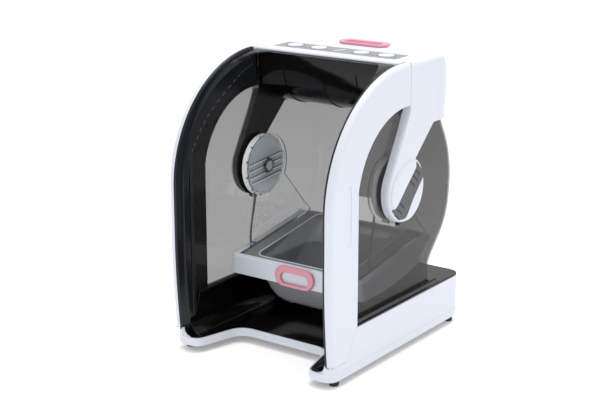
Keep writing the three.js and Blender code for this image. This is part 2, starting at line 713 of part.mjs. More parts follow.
placePair('hub_shaft', discX(0, 0, shaftRadius, 124, gearSet.to + 0.2), 'steel', cradle);
placePair('hub_flange', ringX(0, 0, shaftRadius + gap, flangeRadius, disc.outer + gap, hoodInner - 0.7, 16),
  'grey', cradle);
placePair('hub_disc', hubDisc(), 'clear', cradle);
placePair('disc_rim', discRim(), 'white', cradle);
placePair('disc_clip', box(136, 147, -4.5, 4.5, 57.6, 63).rotate([152, 0, 0]), 'steel', cradle);
placePair('hanger_plate', hangerPlate(), 'clear', cradle);
placePair('carrier_rail', carrierRail(), 'frosted', cradle);
const railEnd = box(121, 137, 108 + gap, crossbar.front, carrierTop - 4, carrierTop);
place('carrier_crossbar', box(-137, 137, crossbar.front, crossbar.rear, carrierTop - 4, carrierTop + 6)
  .add(railEnd)
  .add(mirrored(railEnd)), 'frosted', cradle);

// The nut on the inner end of each hub shaft clamps the hanger plate and the disc to the flange.
function shaftNut() {
  const profile = outline([...Array(6).keys()].map((corner) => {
    const angle = corner * Math.PI / 3;
    return [14 * Math.cos(angle), 14 * Math.sin(angle)];
  }));
  return alongX(profile, 124.2, plate.inner - gap, 1).subtract(discX(0, 0, shaftRadius + gap, 100, 200));
}
placePair('shaft_nut', shaftNut(), 'steel', cradle);

// ---------------------------------------------------------------- tray
const barBack = trayFront + 15;

// White front of the tray; its face leans back towards the top.
function trayFrontBar() {
  const side = alongX(outline([
    [trayFront, trayTop - 34, 4], [barBack, trayTop - 34], [barBack, trayTop - 1.5, 2],
    [trayFront + 7, trayTop + 1, 5],
  ]), -trayHalf, trayHalf, 4);
  const ends = alongZ(rectangle(-trayHalf, trayHalf, trayFront - 1, barBack + 40, 12), -200, -100, 4);
  let bar = side.intersect(ends);
  for (const x of lugPlaces) bar = bar.subtract(box(x - 3.6, x + 3.6, -reach, trayFront + 12, -143, -131.8));
  return bar;
}

function traySkirt() {
  const lower = trayTop - 43;
  const shape = new THREE.Shape();
  shape.moveTo(barBack + gap, trayTop);
  shape.lineTo(barBack + gap, lower + 6);
  shape.quadraticCurveTo(-6, lower - 6, 48, lower + 5);
  shape.quadraticCurveTo(trayRear - 24, lower + 16, trayRear, trayTop);
  const wall = alongX(shape, trayHalf - 5, trayHalf - 2, 6);
  const flange = box(132.3, trayHalf - 3, barBack + gap, trayRear - 1, trayTop - 2.5, trayTop);
  return wall.add(flange);
}

// Side view of the bin: deep behind the front, then rising along the hood's curve.
function binProfile(inset) {
  return outline([
    [barBack + 7 + inset, trayTop + 40], [barBack + 7 + inset, binBottom + inset, 30],
    [-34 - inset, binBottom + inset, 16], [8, -202 + inset, 10], [56, -180 + inset, 20],
    [98 - inset, trayTop - 22 + inset, 6], [102 - inset, trayTop + 40],
  ]);
}

// Front view of the bin.
function binSection(inset) {
  return outline([
    [trayTop + 40, -98 + inset], [binBottom + inset, -86 + inset, 46], [binBottom + inset, 86 - inset, 46],
    [trayTop + 40, 98 - inset],
  ]);
}

function trayBin() {
  const shell = (inset) => alongX(binProfile(inset), -120, 120, 5)
    .intersect(alongY(binSection(inset), -reach, reach, 6));
  const below = box(-reach, reach, -reach, reach, -reach, trayTop - 0.2);
  const flange = box(-125.5, 125.5, barBack + gap, 110, trayTop - 2.5, trayTop);
  const outer = shell(0).intersect(below).add(flange);
  return outer.subtract(shell(2.4));
}

place('tray_front', trayFrontBar(), 'white', cradle);
placePair('tray_skirt', traySkirt(), 'white', cradle);
place('tray_bin', trayBin(), 'frosted', cradle);

const trayPull = new THREE.Group();
const faceLean = Math.atan2(7, 35);
trayPull.position.set(0, trayFront + 2.7, trayTop - 17.5);
trayPull.rotation.x = Math.PI / 2 - faceLean;
cradle.add(trayPull);
place('tray_pull', pullRing(handle.trayLength), 'pink', trayPull);

// ---------------------------------------------------------------- power
function powerInlet() {
  const flangeShape = rectangle(inlet.z - inlet.height / 2 + gap, inlet.z + inlet.height / 2 - gap,
    inlet.x - inlet.width / 2 + gap, inlet.x + inlet.width / 2 - gap, 3);
  const socket = rectangle(inlet.z - 6, inlet.z + 6, inlet.x - 10, inlet.x + 10, 3);
  const pins = [-6, 0, 6].map((x) => box(inlet.x + x - 1, inlet.x + x + 1, baseRear - 19, baseRear - 5,
    inlet.z - 2, inlet.z + 2));
  return alongY(flangeShape, baseRear - 22, baseRear - 0.5, 2)
    .subtract(alongY(socket, baseRear - 18, baseRear + 5, 2))
    .add(joined(pins));
}

function powerSupply() {
  const board = box(-60, 60, hub.y + 120, hub.y + 176, 20, 22);
  const transformer = box(-34, 2, hub.y + 130, hub.y + 162, 21, 50);
  const capacitor = alongZ(circle(28, hub.y + 146, 9), 21, 52, 8);
  const posts = [[-54, 126], [54, 126], [-54, 170], [54, 170]].map(([x, y]) => alongZ(
    circle(x, hub.y + y, 3), footHeight + 2.5 + gap, 21, 5));
  return joined([board, transformer, capacitor, ...posts]);
}

place('power_inlet', powerInlet(), 'black');
place('power_supply', powerSupply(), 'board');

export default model;
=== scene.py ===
"""Looks of the hooded rocking tray machine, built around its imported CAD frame.

Lengths in this file are millimetres in the CAD frame until a piece is made, when MM turns them into
metres. Side views are drawn as (y, z) with y measured from the hub axis and z from the bench. Lights and
the floor are in metres.
"""

import math

import bmesh
import bpy
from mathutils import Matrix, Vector


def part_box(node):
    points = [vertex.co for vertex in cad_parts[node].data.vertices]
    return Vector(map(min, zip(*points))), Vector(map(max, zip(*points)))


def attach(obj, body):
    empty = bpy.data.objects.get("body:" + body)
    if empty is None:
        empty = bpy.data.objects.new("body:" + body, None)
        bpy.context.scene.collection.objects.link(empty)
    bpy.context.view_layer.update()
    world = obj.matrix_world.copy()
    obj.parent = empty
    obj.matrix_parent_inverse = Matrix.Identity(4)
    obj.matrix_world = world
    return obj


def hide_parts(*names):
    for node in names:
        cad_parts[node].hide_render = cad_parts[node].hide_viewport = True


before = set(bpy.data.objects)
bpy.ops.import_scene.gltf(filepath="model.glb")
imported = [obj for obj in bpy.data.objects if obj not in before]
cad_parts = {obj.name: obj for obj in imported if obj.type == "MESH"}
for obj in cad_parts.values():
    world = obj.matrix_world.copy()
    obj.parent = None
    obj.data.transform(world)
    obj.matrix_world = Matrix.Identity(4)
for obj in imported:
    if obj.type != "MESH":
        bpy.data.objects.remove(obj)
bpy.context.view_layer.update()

MM = 0.001


def middle(node):
    """Middle of a CAD node's box, in millimetres."""
    low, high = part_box(node)
    return (low + high) / 2 / MM


def low_mm(node):
    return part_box(node)[0] / MM


def high_mm(node):
    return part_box(node)[1] / MM


# ------------ driving dimensions
HUB_Y = middle("hub_bearing_right").y
HUB_Z = middle("hub_bearing_right").z
HALF = high_mm("side_frame_right").x  # outer face of the side frames and the head
FRAME_IN = low_mm("side_frame_right").x  # inner face of the side frames
REACH_Y = 231  # half axes of the side frames' outer ellipse
REACH_Z = 219
TOP = HUB_Z + REACH_Z  # top of the head
WINDOW_Y = 150  # half axes of the windows' arched top
WINDOW_Z = 145
WINDOW_FRONT = -147  # front edge of the windows
SEAM = 8  # joint between the side frames and the head
HEAD_FRONT = -6  # front, rear and underside of the head
HEAD_REAR = 163
HEAD_LOW = 402
HEAD_SPLIT = 100  # plane where the arms' moulding meets the head's rear
ARM_TOP = HUB_Z + 140  # the arms leave the head's cheeks here
EDGE = 9  # rounding of the head's long edges
FOOT_TOP = 12  # heights in the base, from the feet up
LIP = 27.5
TOE = 40
BASE_TOP = 92
DECK = 95.3
RAIL = DECK + 3.9
BASE_FRONT = -224  # ends of the base, and rear of the well in it
BASE_REAR = 204
WELL_REAR = 106
HOOD_X = high_mm("rear_hood").x  # outer faces of the hood
HOOD_TOP = 478
HOOD_CURVE = [(146, 440), (152, 402), (179, 350), (192, 300), (192, 262), (186, 222), (170, 188),
              (143, 156), (120, 133), (113, 114), (114, 95.8)]  # its rear wall, from the head down
TRIM_X = 148  # inner faces of the opening's lining
BOSS_R = 58  # radius of the hub bosses
SHAFT_HOLE_R = 9.4  # radius of the holes for the shaft
DISC_R = 53  # radius of the clear discs
TRAY_TOP = -134  # the tray, measured from the hub with the cradle level
TRAY_FRONT = -120
TRAY_REAR = 104
TRAY_HALF = 146
BIN_FLOOR = -91.8  # floor of the bin, from the tray's top
PANEL_Y = 44  # middle of the control panel
BUTTONS = (-97, -45, 45, 97)
RING_LUGS = (-19, 19)  # hinge lugs of the pull rings
GAP = 0.3  # clearance between neighbouring mouldings
TILT = math.radians(9)  # the cradle rests swung back


# ------------ materials
def plastic(name, color, roughness, shade=0.06, bump=0.02, grain=900, alpha=1.0, coat=0.0, shine=0.5):
    """A moulded plastic: slight cloudiness in colour and gloss, and a very fine grain."""
    material = bpy.data.materials.new(name)
    material.use_nodes = True
    nodes = material.node_tree.nodes
    links = material.node_tree.links
    shader = nodes["Principled BSDF"]
    for socket, value in (("Alpha", alpha), ("Specular IOR Level", shine), ("Coat Weight", coat),
                          ("Coat Roughness", 0.06)):
        shader.inputs[socket].default_value = value
    place = nodes.new("ShaderNodeTexCoord")
    cloud = nodes.new("ShaderNodeTexNoise")
    cloud.inputs["Scale"].default_value = 9
    cloud.inputs["Detail"].default_value = 5
    links.new(place.outputs["Object"], cloud.inputs["Vector"])
    tint = nodes.new("ShaderNodeValToRGB")
    tint.color_ramp.elements[0].position = 0.35
    tint.color_ramp.elements[1].position = 0.65
    tint.color_ramp.elements[0].color = [c * (1 - shade) for c in color] + [1]
    tint.color_ramp.elements[1].color = [min(1, c * (1 + shade)) for c in color] + [1]
    links.new(cloud.outputs["Fac"], tint.inputs["Fac"])
    links.new(tint.outputs["Color"], shader.inputs["Base Color"])
    gloss = nodes.new("ShaderNodeMapRange")
    gloss.inputs["To Min"].default_value = roughness * 0.8
    gloss.inputs["To Max"].default_value = roughness * 1.25
    links.new(cloud.outputs["Fac"], gloss.inputs["Value"])
    links.new(gloss.outputs["Result"], shader.inputs["Roughness"])
    fine = nodes.new("ShaderNodeTexNoise")
    fine.inputs["Scale"].default_value = grain
    links.new(place.outputs["Object"], fine.inputs["Vector"])
    relief = nodes.new("ShaderNodeBump")
    relief.inputs["Strength"].default_value = bump
    relief.inputs["Distance"].default_value = 0.0004
    links.new(fine.outputs["Fac"], relief.inputs["Height"])
    links.new(relief.outputs["Normal"], shader.inputs["Normal"])
    return material


def metal(name, color, roughness):
    """A brushed metal, made like a plastic."""
    material = plastic(name, color, roughness, shade=0.1, bump=0.08, grain=1400)
    material.node_tree.nodes["Principled BSDF"].inputs["Metallic"].default_value = 1.0
    return material


WHITE = plastic("white_moulding", (0.63, 0.66, 0.735), 0.32, shade=0.006, bump=0.004, coat=0.05, shine=0.36)
# a darker copy of the white: painted groove shade on the grip lines, also used for the base's seam lines
WHITE_SHADED = plastic("white_moulding_shaded", (0.46, 0.50, 0.58), 0.35, shade=0.02)
BLACK = plastic("black_gloss", (0.0025, 0.0025, 0.003), 0.09, bump=0.006, shine=0.28)
BLACK_INNER = plastic("black_satin", (0.008, 0.008, 0.010), 0.28, shine=0.3)
SMOKE = plastic("smoked_sheet", (0.021, 0.019, 0.017), 0.04, bump=0.0004, alpha=0.515, shine=0.35)
CLEAR = plastic("clear_sheet", (0.70, 0.76, 0.80), 0.04, bump=0.004, alpha=0.07)
CLEAR_EDGE = plastic("clear_sheet_edge", (0.10, 0.13, 0.155), 0.2, alpha=0.85)
CLEAR_BEAD = plastic("clear_sheet_bead", (0.045, 0.062, 0.078), 0.15)
RIM_WHITE = plastic("rim_white", (0.86, 0.87, 0.88), 0.2, shade=0.02)
# dark grey that stands in for shade: painted shade on the left arm's side walls
LEFT_ARM_SHADE = plastic("left_arm_painted_shade", (0.045, 0.050, 0.060), 0.3, bump=0.02)
DISC_CLEAR = plastic("clear_disc", (0.78, 0.84, 0.92), 0.08, bump=0.02, alpha=0.6)
DISC_RIB = plastic("clear_disc_rib", (0.85, 0.88, 0.92), 0.12, alpha=0.8)
FROSTED = plastic("frosted_bin", (0.30, 0.31, 0.32), 0.16, shade=0.03, alpha=0.62)
GREY = plastic("grey_moulding", (0.055, 0.057, 0.063), 0.38, bump=0.05)
SEAL = plastic("grey_seal", (0.004, 0.004, 0.004), 0.45, bump=0.05)
BORDER = plastic("black_border", (0.009, 0.010, 0.013), 0.16, bump=0.01, shine=0.3)
DIM_LINE = plastic("dim_line", (0.085, 0.08, 0.07), 0.4)
# light grey on the thin deck rails: painted highlight lines on glossy black
RAIL_HIGHLIGHT = plastic("painted_rail_highlight", (0.16, 0.165, 0.17), 0.25)
PANEL = plastic("panel_film", (0.23, 0.24, 0.235), 0.32, bump=0.04)
PRINT = plastic("panel_print", (0.10, 0.10, 0.11), 0.4)
PINK = plastic("pink_moulding", (0.70, 0.27, 0.345), 0.3, shade=0.03, coat=0.2)
RUBBER = plastic("foot_rubber", (0.015, 0.015, 0.016), 0.75, shade=0.2, bump=0.3, grain=500)
STEEL = metal("brushed_steel", (0.55, 0.56, 0.58), 0.28)
BOARD = plastic("circuit_board", (0.02, 0.12, 0.06), 0.5, shade=0.25)
LIGHT_LINE = plastic("bright_line", (0.75, 0.77, 0.80), 0.2)


# ------------ curves in a plane
def arc(a, b, radius_a, radius_b, start, end, steps):
    """Points on an ellipse about (a, b), angles in radians from the first axis."""
    angles = [start + (end - start) * i / steps for i in range(steps + 1)]
    return [(a + radius_a * math.cos(t), b + radius_b * math.sin(t)) for t in angles]


def ellipse(radius_a, radius_b, steps):
    """Points all round an ellipse about the origin."""
    return arc(0, 0, radius_a, radius_b, 0, 2 * math.pi, steps)[:-1]


def bezier(p, q, r, s, steps):
    """Points on the cubic curve from p to s."""
    points = []
    for i in range(steps + 1):
        t = i / steps
        weights = ((1 - t) ** 3, 3 * t * (1 - t) ** 2, 3 * t * t * (1 - t), t ** 3)
        points.append(tuple(sum(w * c[k] for w, c in zip(weights, (p, q, r, s))) for k in (0, 1)))
    return points


def quadratic(p, q, r, steps):
    """Points on the curve from p to r that heads for q at both ends."""
    first = tuple(p[k] + (q[k] - p[k]) * 2 / 3 for k in (0, 1))
    second = tuple(r[k] + (q[k] - r[k]) * 2 / 3 for k in (0, 1))
    return bezier(p, first, second, r, steps)


def rounded(corners, steps=6, closed=True):
    """An outline through (a, b, radius) corners, each rounded by a curve of that size."""
    points = []
    for i, (a, b, radius) in enumerate(corners):
        end = not closed and i in (0, len(corners) - 1)
        if radius == 0 or end:
            points.append((a, b))
            continue
        here = Vector((a, b))
        before = Vector(corners[i - 1][:2]) - here
        after = Vector(corners[(i + 1) % len(corners)][:2]) - here
        points += quadratic(here + before.normalized() * radius, here,
                            here + after.normalized() * radius, steps)
    return [tuple(point) for point in points]


def spline(points, steps=6):
    """A smooth curve through the points."""
    smooth = []
    for i in range(len(points) - 1):
        p0 = Vector(points[max(i - 1, 0)])
        p1 = Vector(points[i])
        p2 = Vector(points[i + 1])
        p3 = Vector(points[min(i + 2, len(points) - 1)])
        smooth += bezier(p1, p1 + (p2 - p0) / 6, p2 - (p3 - p1) / 6, p2, steps)[:-1]
    return smooth + [tuple(points[-1])]


def rectangle(a0, a1, b0, b1, radius=0, steps=6):
    """A rectangle, with rounded corners where a radius is given."""
    return rounded([(a0, b0, radius), (a1, b0, radius), (a1, b1, radius), (a0, b1, radius)], steps)


def divided(start, end, steps):
    """Points along a straight line."""
    return [tuple(start[k] + (end[k] - start[k]) * i / steps for k in (0, 1)) for i in range(steps + 1)]


def u_path(half, ends, bend, radius, steps, divisions):
    """A U seen from above: open at y = ends, bent at y = bend, with both its arms divided."""
    path = rounded([(half, ends, 0), (half, bend, radius), (-half, bend, radius), (-half, ends, 0)],
                   steps, closed=False)
    return divided(path[0], path[1], divisions)[:-1] + path[1:-1] + divided(path[-2], path[-1], divisions)[1:]


def normals(path, closed=False):
    """Unit normals on the left of the path's direction."""
    result = []
    for i in range(len(path)):
        before = path[i - 1] if closed or i > 0 else path[i]
        after = path[(i + 1) % len(path)] if closed or i < len(path) - 1 else path[i]
        along = (Vector(after) - Vector(before)).normalized()
        result.append((-along.y, along.x))
    return result


def shifted(path, distances):
    """The path with each point moved to the left by a distance of its own."""
    return [(p[0] + n[0] * d, p[1] + n[1] * d) for p, n, d in zip(path, normals(path), distances)]


def rotated(path, angle):
    """The path turned about the origin."""
    sine, cosine = math.sin(angle), math.cos(angle)
    return [(a * cosine - b * sine, a * sine + b * cosine) for a, b in path]


def side_view(path, x):
    """Puts a side view, whose y is measured from the hub, at one x."""
    return [(x, HUB_Y + y, z) for y, z in path]


def hub_view(path, x):
    """Puts a side view that is drawn about the hub axis at one x."""
    return [(x, HUB_Y + y, HUB_Z + z) for y, z in path]


def plan_view(path, z):
    """Puts a plan, whose y is measured from the hub, at one height."""
    return [(x, HUB_Y + y, z) for x, y in path]


def swung(points):
    """Points drawn level about the hub axis, as (x, y, z), moved into the swung cradle."""
    turned_back = rotated([(y, z) for _, y, z in points], TILT)
    return [(x, HUB_Y + y, HUB_Z + z) for (x, _, _), (y, z) in zip(points, turned_back)]


# ------------ pieces
def placed(name, data):
    """A new object in the scene."""
    obj = bpy.data.objects.new(name, data)
    bpy.context.scene.collection.objects.link(obj)
    return obj


ROUNDED_FROM = math.radians(24)  # edges sharper than this are rounded, where a piece is rounded
CRISP = math.radians(40)  # elsewhere, edges sharper than this stay crisp


class Part:
    """Collects surfaces in millimetres, and turns them into one object."""

    def __init__(self):
        self.vertices = []
        self.faces = []
        self.looks = []

    def add(self, points, faces, look=0):
        start = len(self.vertices)
        self.vertices += [tuple(p) for p in points]
        self.faces += [[start + i for i in face] for face in faces]
        self.looks += [look] * len(faces)

    def skin(self, rings, closed=True, caps=True, wrap=False, look=0, cap_looks=(None, None)):
        """Joins rings of equally many points; caps close the first and the last ring. Returns the part."""
        count = len(rings[0])
        faces = []
        pairs = [(i, i + 1) for i in range(len(rings) - 1)] + ([(len(rings) - 1, 0)] if wrap else [])
        for a, b in pairs:
            for j in range(count if closed else count - 1):
                k = (j + 1) % count
                faces.append([a * count + j, a * count + k, b * count + k, b * count + j])
        self.add([p for ring in rings for p in ring], faces, look)
        if caps and not wrap:
            for ring, cap_look in zip((rings[0], rings[-1]), cap_looks):
                self.add(ring, [list(range(count))], look if cap_look is None else cap_look)
        return self

    def prism(self, outline, x0, x1, look=0, cap_looks=(None, None)):
        self.skin([side_view(outline, x0), side_view(outline, x1)], look=look, cap_looks=cap_looks)

    def slab(self, outline, z0, z1, look=0):
        self.skin([plan_view(outline, z0), plan_view(outline, z1)], look=look)

    def moved(self, change):
        self.vertices = [change(v) for v in self.vertices]

    def mirrored(self):
        copy = Part()
        copy.vertices = [(-x, y, z) for x, y, z in self.vertices]
        copy.faces = [list(face) for face in self.faces]
        copy.looks = list(self.looks)
        return copy

    def join(self, other):
        start = len(self.vertices)
        self.vertices += other.vertices
        self.faces += [[start + i for i in face] for face in other.faces]
        self.looks += other.looks

    def make(self, name, materials, slot, body="housing", stands_for=(), rounding=0.5, segments=3,
             wall=0, inner_look=0):
        """Makes the object. rounding is a width, or a function of an edge's middle that gives one."""
        mesh = bpy.data.meshes.new(name)
        mesh.from_pydata([Vector(v) * MM for v in self.vertices], [], self.faces)
        mesh.polygons.foreach_set("material_index", self.looks)
        for material in materials:
            mesh.materials.append(material)
        body_mesh = bmesh.new()
        body_mesh.from_mesh(mesh)
        weld(body_mesh, 0.02)
        widest = self.weigh_edges(body_mesh, rounding) if rounding else 0
        for face in body_mesh.faces:
            face.smooth = True
        if not widest:
            for edge in body_mesh.edges:
                edge.smooth = len(edge.link_faces) != 2 or edge.calc_face_angle(0) < CRISP
        body_mesh.to_mesh(mesh)
        body_mesh.free()
        obj = placed(name, mesh)
        if wall:
            solid = obj.modifiers.new("wall", "SOLIDIFY")
            solid.thickness = wall * MM
            solid.offset = -1
            solid.use_even_offset = True
            solid.material_offset = inner_look
        if widest:
            bevel = obj.modifiers.new("rounding", "BEVEL")
            bevel.limit_method = "WEIGHT"
            bevel.width = widest * MM
            bevel.segments = segments
            bevel.harden_normals = True
            bevel.use_clamp_overlap = False
        finish_normals(obj)
        if stands_for:
            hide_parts(*stands_for)
        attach(obj, body)
        return obj

    @staticmethod
    def weigh_edges(body_mesh, rounding):
        """Marks every sharp edge with its rounding, and returns the widest one."""
        layer = body_mesh.edges.layers.float.new("bevel_weight_edge")
        widths = {}
        for edge in body_mesh.edges:
            if len(edge.link_faces) != 2 or edge.calc_face_angle(0) < ROUNDED_FROM:
                continue
            spot = (edge.verts[0].co + edge.verts[1].co) / 2 / MM
            widths[edge] = rounding(spot) if callable(rounding) else rounding
        widest = max(widths.values(), default=0)
        for edge, width in widths.items():
            edge[layer] = width / widest if widest else 0
        return widest


def weld(shape, reach):
    """Joins vertices less than reach millimetres apart, and turns all faces outwards."""
    bmesh.ops.remove_doubles(shape, verts=shape.verts, dist=reach * MM)
    bmesh.ops.recalc_face_normals(shape, faces=shape.faces)


def finish_normals(obj):
    """Keeps large flat faces flat, and the edges marked sharp crisp, in smooth shading."""
    smooth = obj.modifiers.new("normals", "WEIGHTED_NORMAL")
    smooth.keep_sharp = True
    smooth.weight = 60


def carve(obj, cutter):
    """Cuts the cutter's volume out of the object's final shape."""
    mesh = bpy.data.meshes.new("cutter")
    mesh.from_pydata([Vector(v) * MM for v in cutter.vertices], [], cutter.faces)
    shape = bmesh.new()
    shape.from_mesh(mesh)
    weld(shape, 0.01)
    shape.to_mesh(mesh)
    shape.free()
    tool = placed("cutter", mesh)
    cut = obj.modifiers.new("cut", "BOOLEAN")
    cut.operation = "DIFFERENCE"
    cut.solver = "EXACT"
    cut.object = tool
    bpy.context.view_layer.update()
    ready = bpy.data.meshes.new_from_object(obj.evaluated_get(bpy.context.evaluated_depsgraph_get()))
    obj.modifiers.clear()
    obj.data = ready
    finish_normals(obj)
    bpy.data.objects.remove(tool)


def both_sides(part, name, materials, slot, body="housing", stands_for=(), **options):
    """Makes a right-hand piece and its mirror image."""
    for side, shape in (("right", part), ("left", part.mirrored())):
        nodes = [f"{node}_{side}" for node in stands_for]
        shape.make(f"{name}_{side}", materials, slot, body, nodes, **options)


def carried(node, material, rounding=0.3):
    """Keeps a CAD piece in view, with softened edges."""
    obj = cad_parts[node]
    obj.data.materials.clear()
    obj.data.materials.append(material)
    joined = obj.modifiers.new("weld", "WELD")
    joined.merge_threshold = 0.01 * MM
    bevel = obj.modifiers.new("rounding", "BEVEL")
    bevel.limit_method = "ANGLE"
    bevel.angle_limit = math.radians(40)
    bevel.width = rounding * MM
    bevel.segments = 2


# ------------ camera, light and floor
def look_at(obj, target):
    obj.rotation_euler = (Vector(target) - obj.location).to_track_quat("-Z", "Y").to_euler()


def set_up_camera():
    place = Vector((1355.56, HUB_Y - 1965.78, 919.19))
    target = Vector((-25.66, HUB_Y - 41.63, 247.03))
    data = bpy.data.cameras.new("camera")
    data.lens = 82.75
    data.sensor_width = 36
    camera = placed("camera", data)
    camera.location = place * MM
    look_at(camera, target * MM)
    bpy.context.scene.camera = camera


def area_light(name, location, size, power):
    """A round light, in metres and watts, aimed at the machine."""
    data = bpy.data.lights.new(name, "AREA")
    data.shape = "DISK"
    data.size = size
    data.energy = power
    light = placed(name, data)
    light.location = location
    look_at(light, (0, 0, 0.3))


def set_up_light():
    world = bpy.data.worlds.new("studio")
    world.use_nodes = True
    background = world.node_tree.nodes["Background"]
    background.inputs["Color"].default_value = (1, 1, 1, 1)
    background.inputs["Strength"].default_value = 0.86
    bpy.context.scene.world = world
    area_light("soft_front", (-0.4, -2.6, 1.5), size=1.6, power=3)
    area_light("soft_right", (2.2, -0.4, 1.7), size=1.4, power=4.5)
    area_light("soft_top", (0.1, 0.3, 2.6), size=1.8, power=38)
    bpy.context.scene.view_settings.view_transform = "Standard"


def set_up_floor():
    """A pale sheet of paper, faintly lit from within so that it stays white."""
    reach = 6
    mesh = bpy.data.meshes.new("floor")
    mesh.from_pydata([(a, b, 0) for a, b in rectangle(-reach, reach, -reach, reach)], [], [(0, 1, 2, 3)])
    paper = plastic("studio_floor", (0.96, 0.96, 0.96), 0.7, shade=0.004, bump=0.01)
    glow = paper.node_tree.nodes["Principled BSDF"]
    glow.inputs["Emission Color"].default_value = (1, 1, 1, 1)
    glow.inputs["Emission Strength"].default_value = 0.22
    mesh.materials.append(paper)
    placed("floor", mesh)


# ------------ side frames and borders
def front_path(rear):
    """Front edge of a side frame, from the toe up and over to a rear limit."""
    toe = (BASE_FRONT + 2, TOE + GAP)
    bend = (-REACH_Y, HUB_Z - 170)
    straight = (-REACH_Y, HUB_Z - 100)
    path = quadratic(toe, bend, straight, 10)
    path += divided(straight, (-REACH_Y, HUB_Z), 6)[1:]
    return path + arc(0, HUB_Z, REACH_Y, REACH_Z, math.pi, math.acos(rear / REACH_Y), 44)[1:]


def foot_joint():
    """The curved joint from the window's sill down and forward on to the toe."""
    sill = WINDOW_FRONT - 4
    toe = sill - 39
    high = BASE_TOP + GAP
    low = TOE + GAP
    return bezier((sill, high), (sill - 17, high - 12), (sill - 15, low), (toe, low), 14)


def frame_rounding(spot):
    """Wide on the outer front edge, soft along the window and tight at the joints."""
    tight = 0.6
    outside = abs(spot.x) > HALF - 1
    y, z = spot.y - HUB_Y, spot.z
    reach = math.hypot(y / REACH_Y, max(0, z - HUB_Z) / REACH_Z)
    if y > SEAM - 2 or z < TOE + 1:
        return tight
    if reach > 0.94 or (z < HUB_Z and y < -200):
        return 9 if outside else 5
    if z < BASE_TOP + 1:
        return tight
    return 3.5 if outside else 0.8


def side_frames():
    """Arched frame on each side, white outside and black inside."""
    rear = SEAM - GAP
    window = arc(0, HUB_Z, WINDOW_Y, WINDOW_Z, math.acos(rear / WINDOW_Y),
                 math.acos(WINDOW_FRONT / WINDOW_Y), 40)
    outline = front_path(rear) + window + [(WINDOW_FRONT, BASE_TOP + GAP)] + foot_joint()
    part = Part()
    part.prism(outline, FRAME_IN, HALF, cap_looks=(1, 0))
    both_sides(part, "side_frame_cover", [WHITE, BLACK_INNER], "white_plastic",
               stands_for=["side_frame"], rounding=frame_rounding, segments=6)


def border_band():
    """Black lining of the opening: a bevel behind the frame's ridge, then a flat inner band."""
    outer = 160.2
    bevel = [(outer, 0.6), (156.6, 0.2), (154.6, 0.6), (153.4, 2), (152.8, 5), (151.4, 11), (149.5, 15.2),
             (148.4, 17), (TRIM_X, 18.2)]
    widens_at, wide_by, head_at = 366, 386, 430
    path = [(BASE_FRONT + 6, LIP + 0.2)] + front_path(HEAD_FRONT - 4)
    rings = []
    for (y, z), (ny, nz) in zip(path, normals(path)):
        widening = min(1, max(0, (z - widens_at) / (wide_by - widens_at)))
        deep = 31 + 15 * widening + (15 if z > head_at else 0)
        section = bevel + [(TRIM_X, deep - 0.8), (TRIM_X + 0.8, deep), (153, deep), (outer, deep)]
        rings.append([(x, HUB_Y + y - ny * d, z - nz * d) for x, d in section])
    part = Part().skin(rings)
    both_sides(part, "border_cover", [BORDER], "black_plastic", stands_for=["border_plate"], rounding=0)


def seal_band():
    """Dark strip along the border's inner edge, and a dashed light line that carries on above it."""
    foot = TRIM_X - 0.1
    bend = (-198, HUB_Z - 60)
    path = divided((-197, 60), bend, 8) + divided(bend, (-198, 356), 8)[1:]
    section = ((foot, 0), (foot - 0.8, 0.8), (foot - 0.8, 8), (foot, 8.8))
    part = Part().skin([[(x, HUB_Y + y + d, z) for x, d in section] for y, z in path])
    both_sides(part, "seal_cover", [SEAL], "grey_plastic", stands_for=["seal_strip"], rounding=0.3)
    line = spline([(-197, 352), (-150, 412), (-62, 470), (-16, 488)], 12)
    section = ((foot, 0), (foot - 0.7, 0), (foot - 0.7, 1), (foot, 1))
    dashes = Part()
    for ends in zip(line[::2], line[1::2]):
        dashes.skin([[(x, HUB_Y + y + d, z - d) for x, d in section] for y, z in ends])
    both_sides(dashes, "border_line", [DIM_LINE], "grey_plastic", rounding=0)


def grip_line():
    """Thin J-shaped line moulded into the outer face of each frame, drawn as a slightly proud strip in darker
    white: painted shade of the groove.
    """
    path = spline([(-180, 336), (-174, 342), (-172, 334), (-171.5, 290),
                   (-172, 246), (-174, 238), (-180, 243)])
    root, proud = HALF - 0.5, HALF + 0.25
    section = ((root, -0.9), (proud, -0.5), (proud, 0.5), (root, 0.9))
    part = Part().skin([[(x, HUB_Y + y + d, z) for x, d in section] for y, z in path])
    both_sides(part, "grip_line", [WHITE_SHADED], "white_plastic", rounding=0)


# ------------ head with its two arms
def drawn_in(path, sizes):
    """The closed path with each edge moved to its left by a size of its own."""
    result = []
    for i, (y, z) in enumerate(path):
        before = normals([path[i - 1], path[i]])[0]
        after = normals([path[i], path[(i + 1) % len(path)]])[0]
        turn = before[0] * after[1] - before[1] * after[0]
        nearly_straight = abs(turn) < 0.35
        if nearly_straight:
            along = (Vector(before) + Vector(after)).normalized() * (sizes[i - 1] + sizes[i]) / 2
            result.append((y + along.x, z + along.y))
        else:
            result.append((y + (sizes[i - 1] * after[1] - sizes[i] * before[1]) / turn,
                           z + (sizes[i] * before[0] - sizes[i - 1] * after[0]) / turn))
    return result


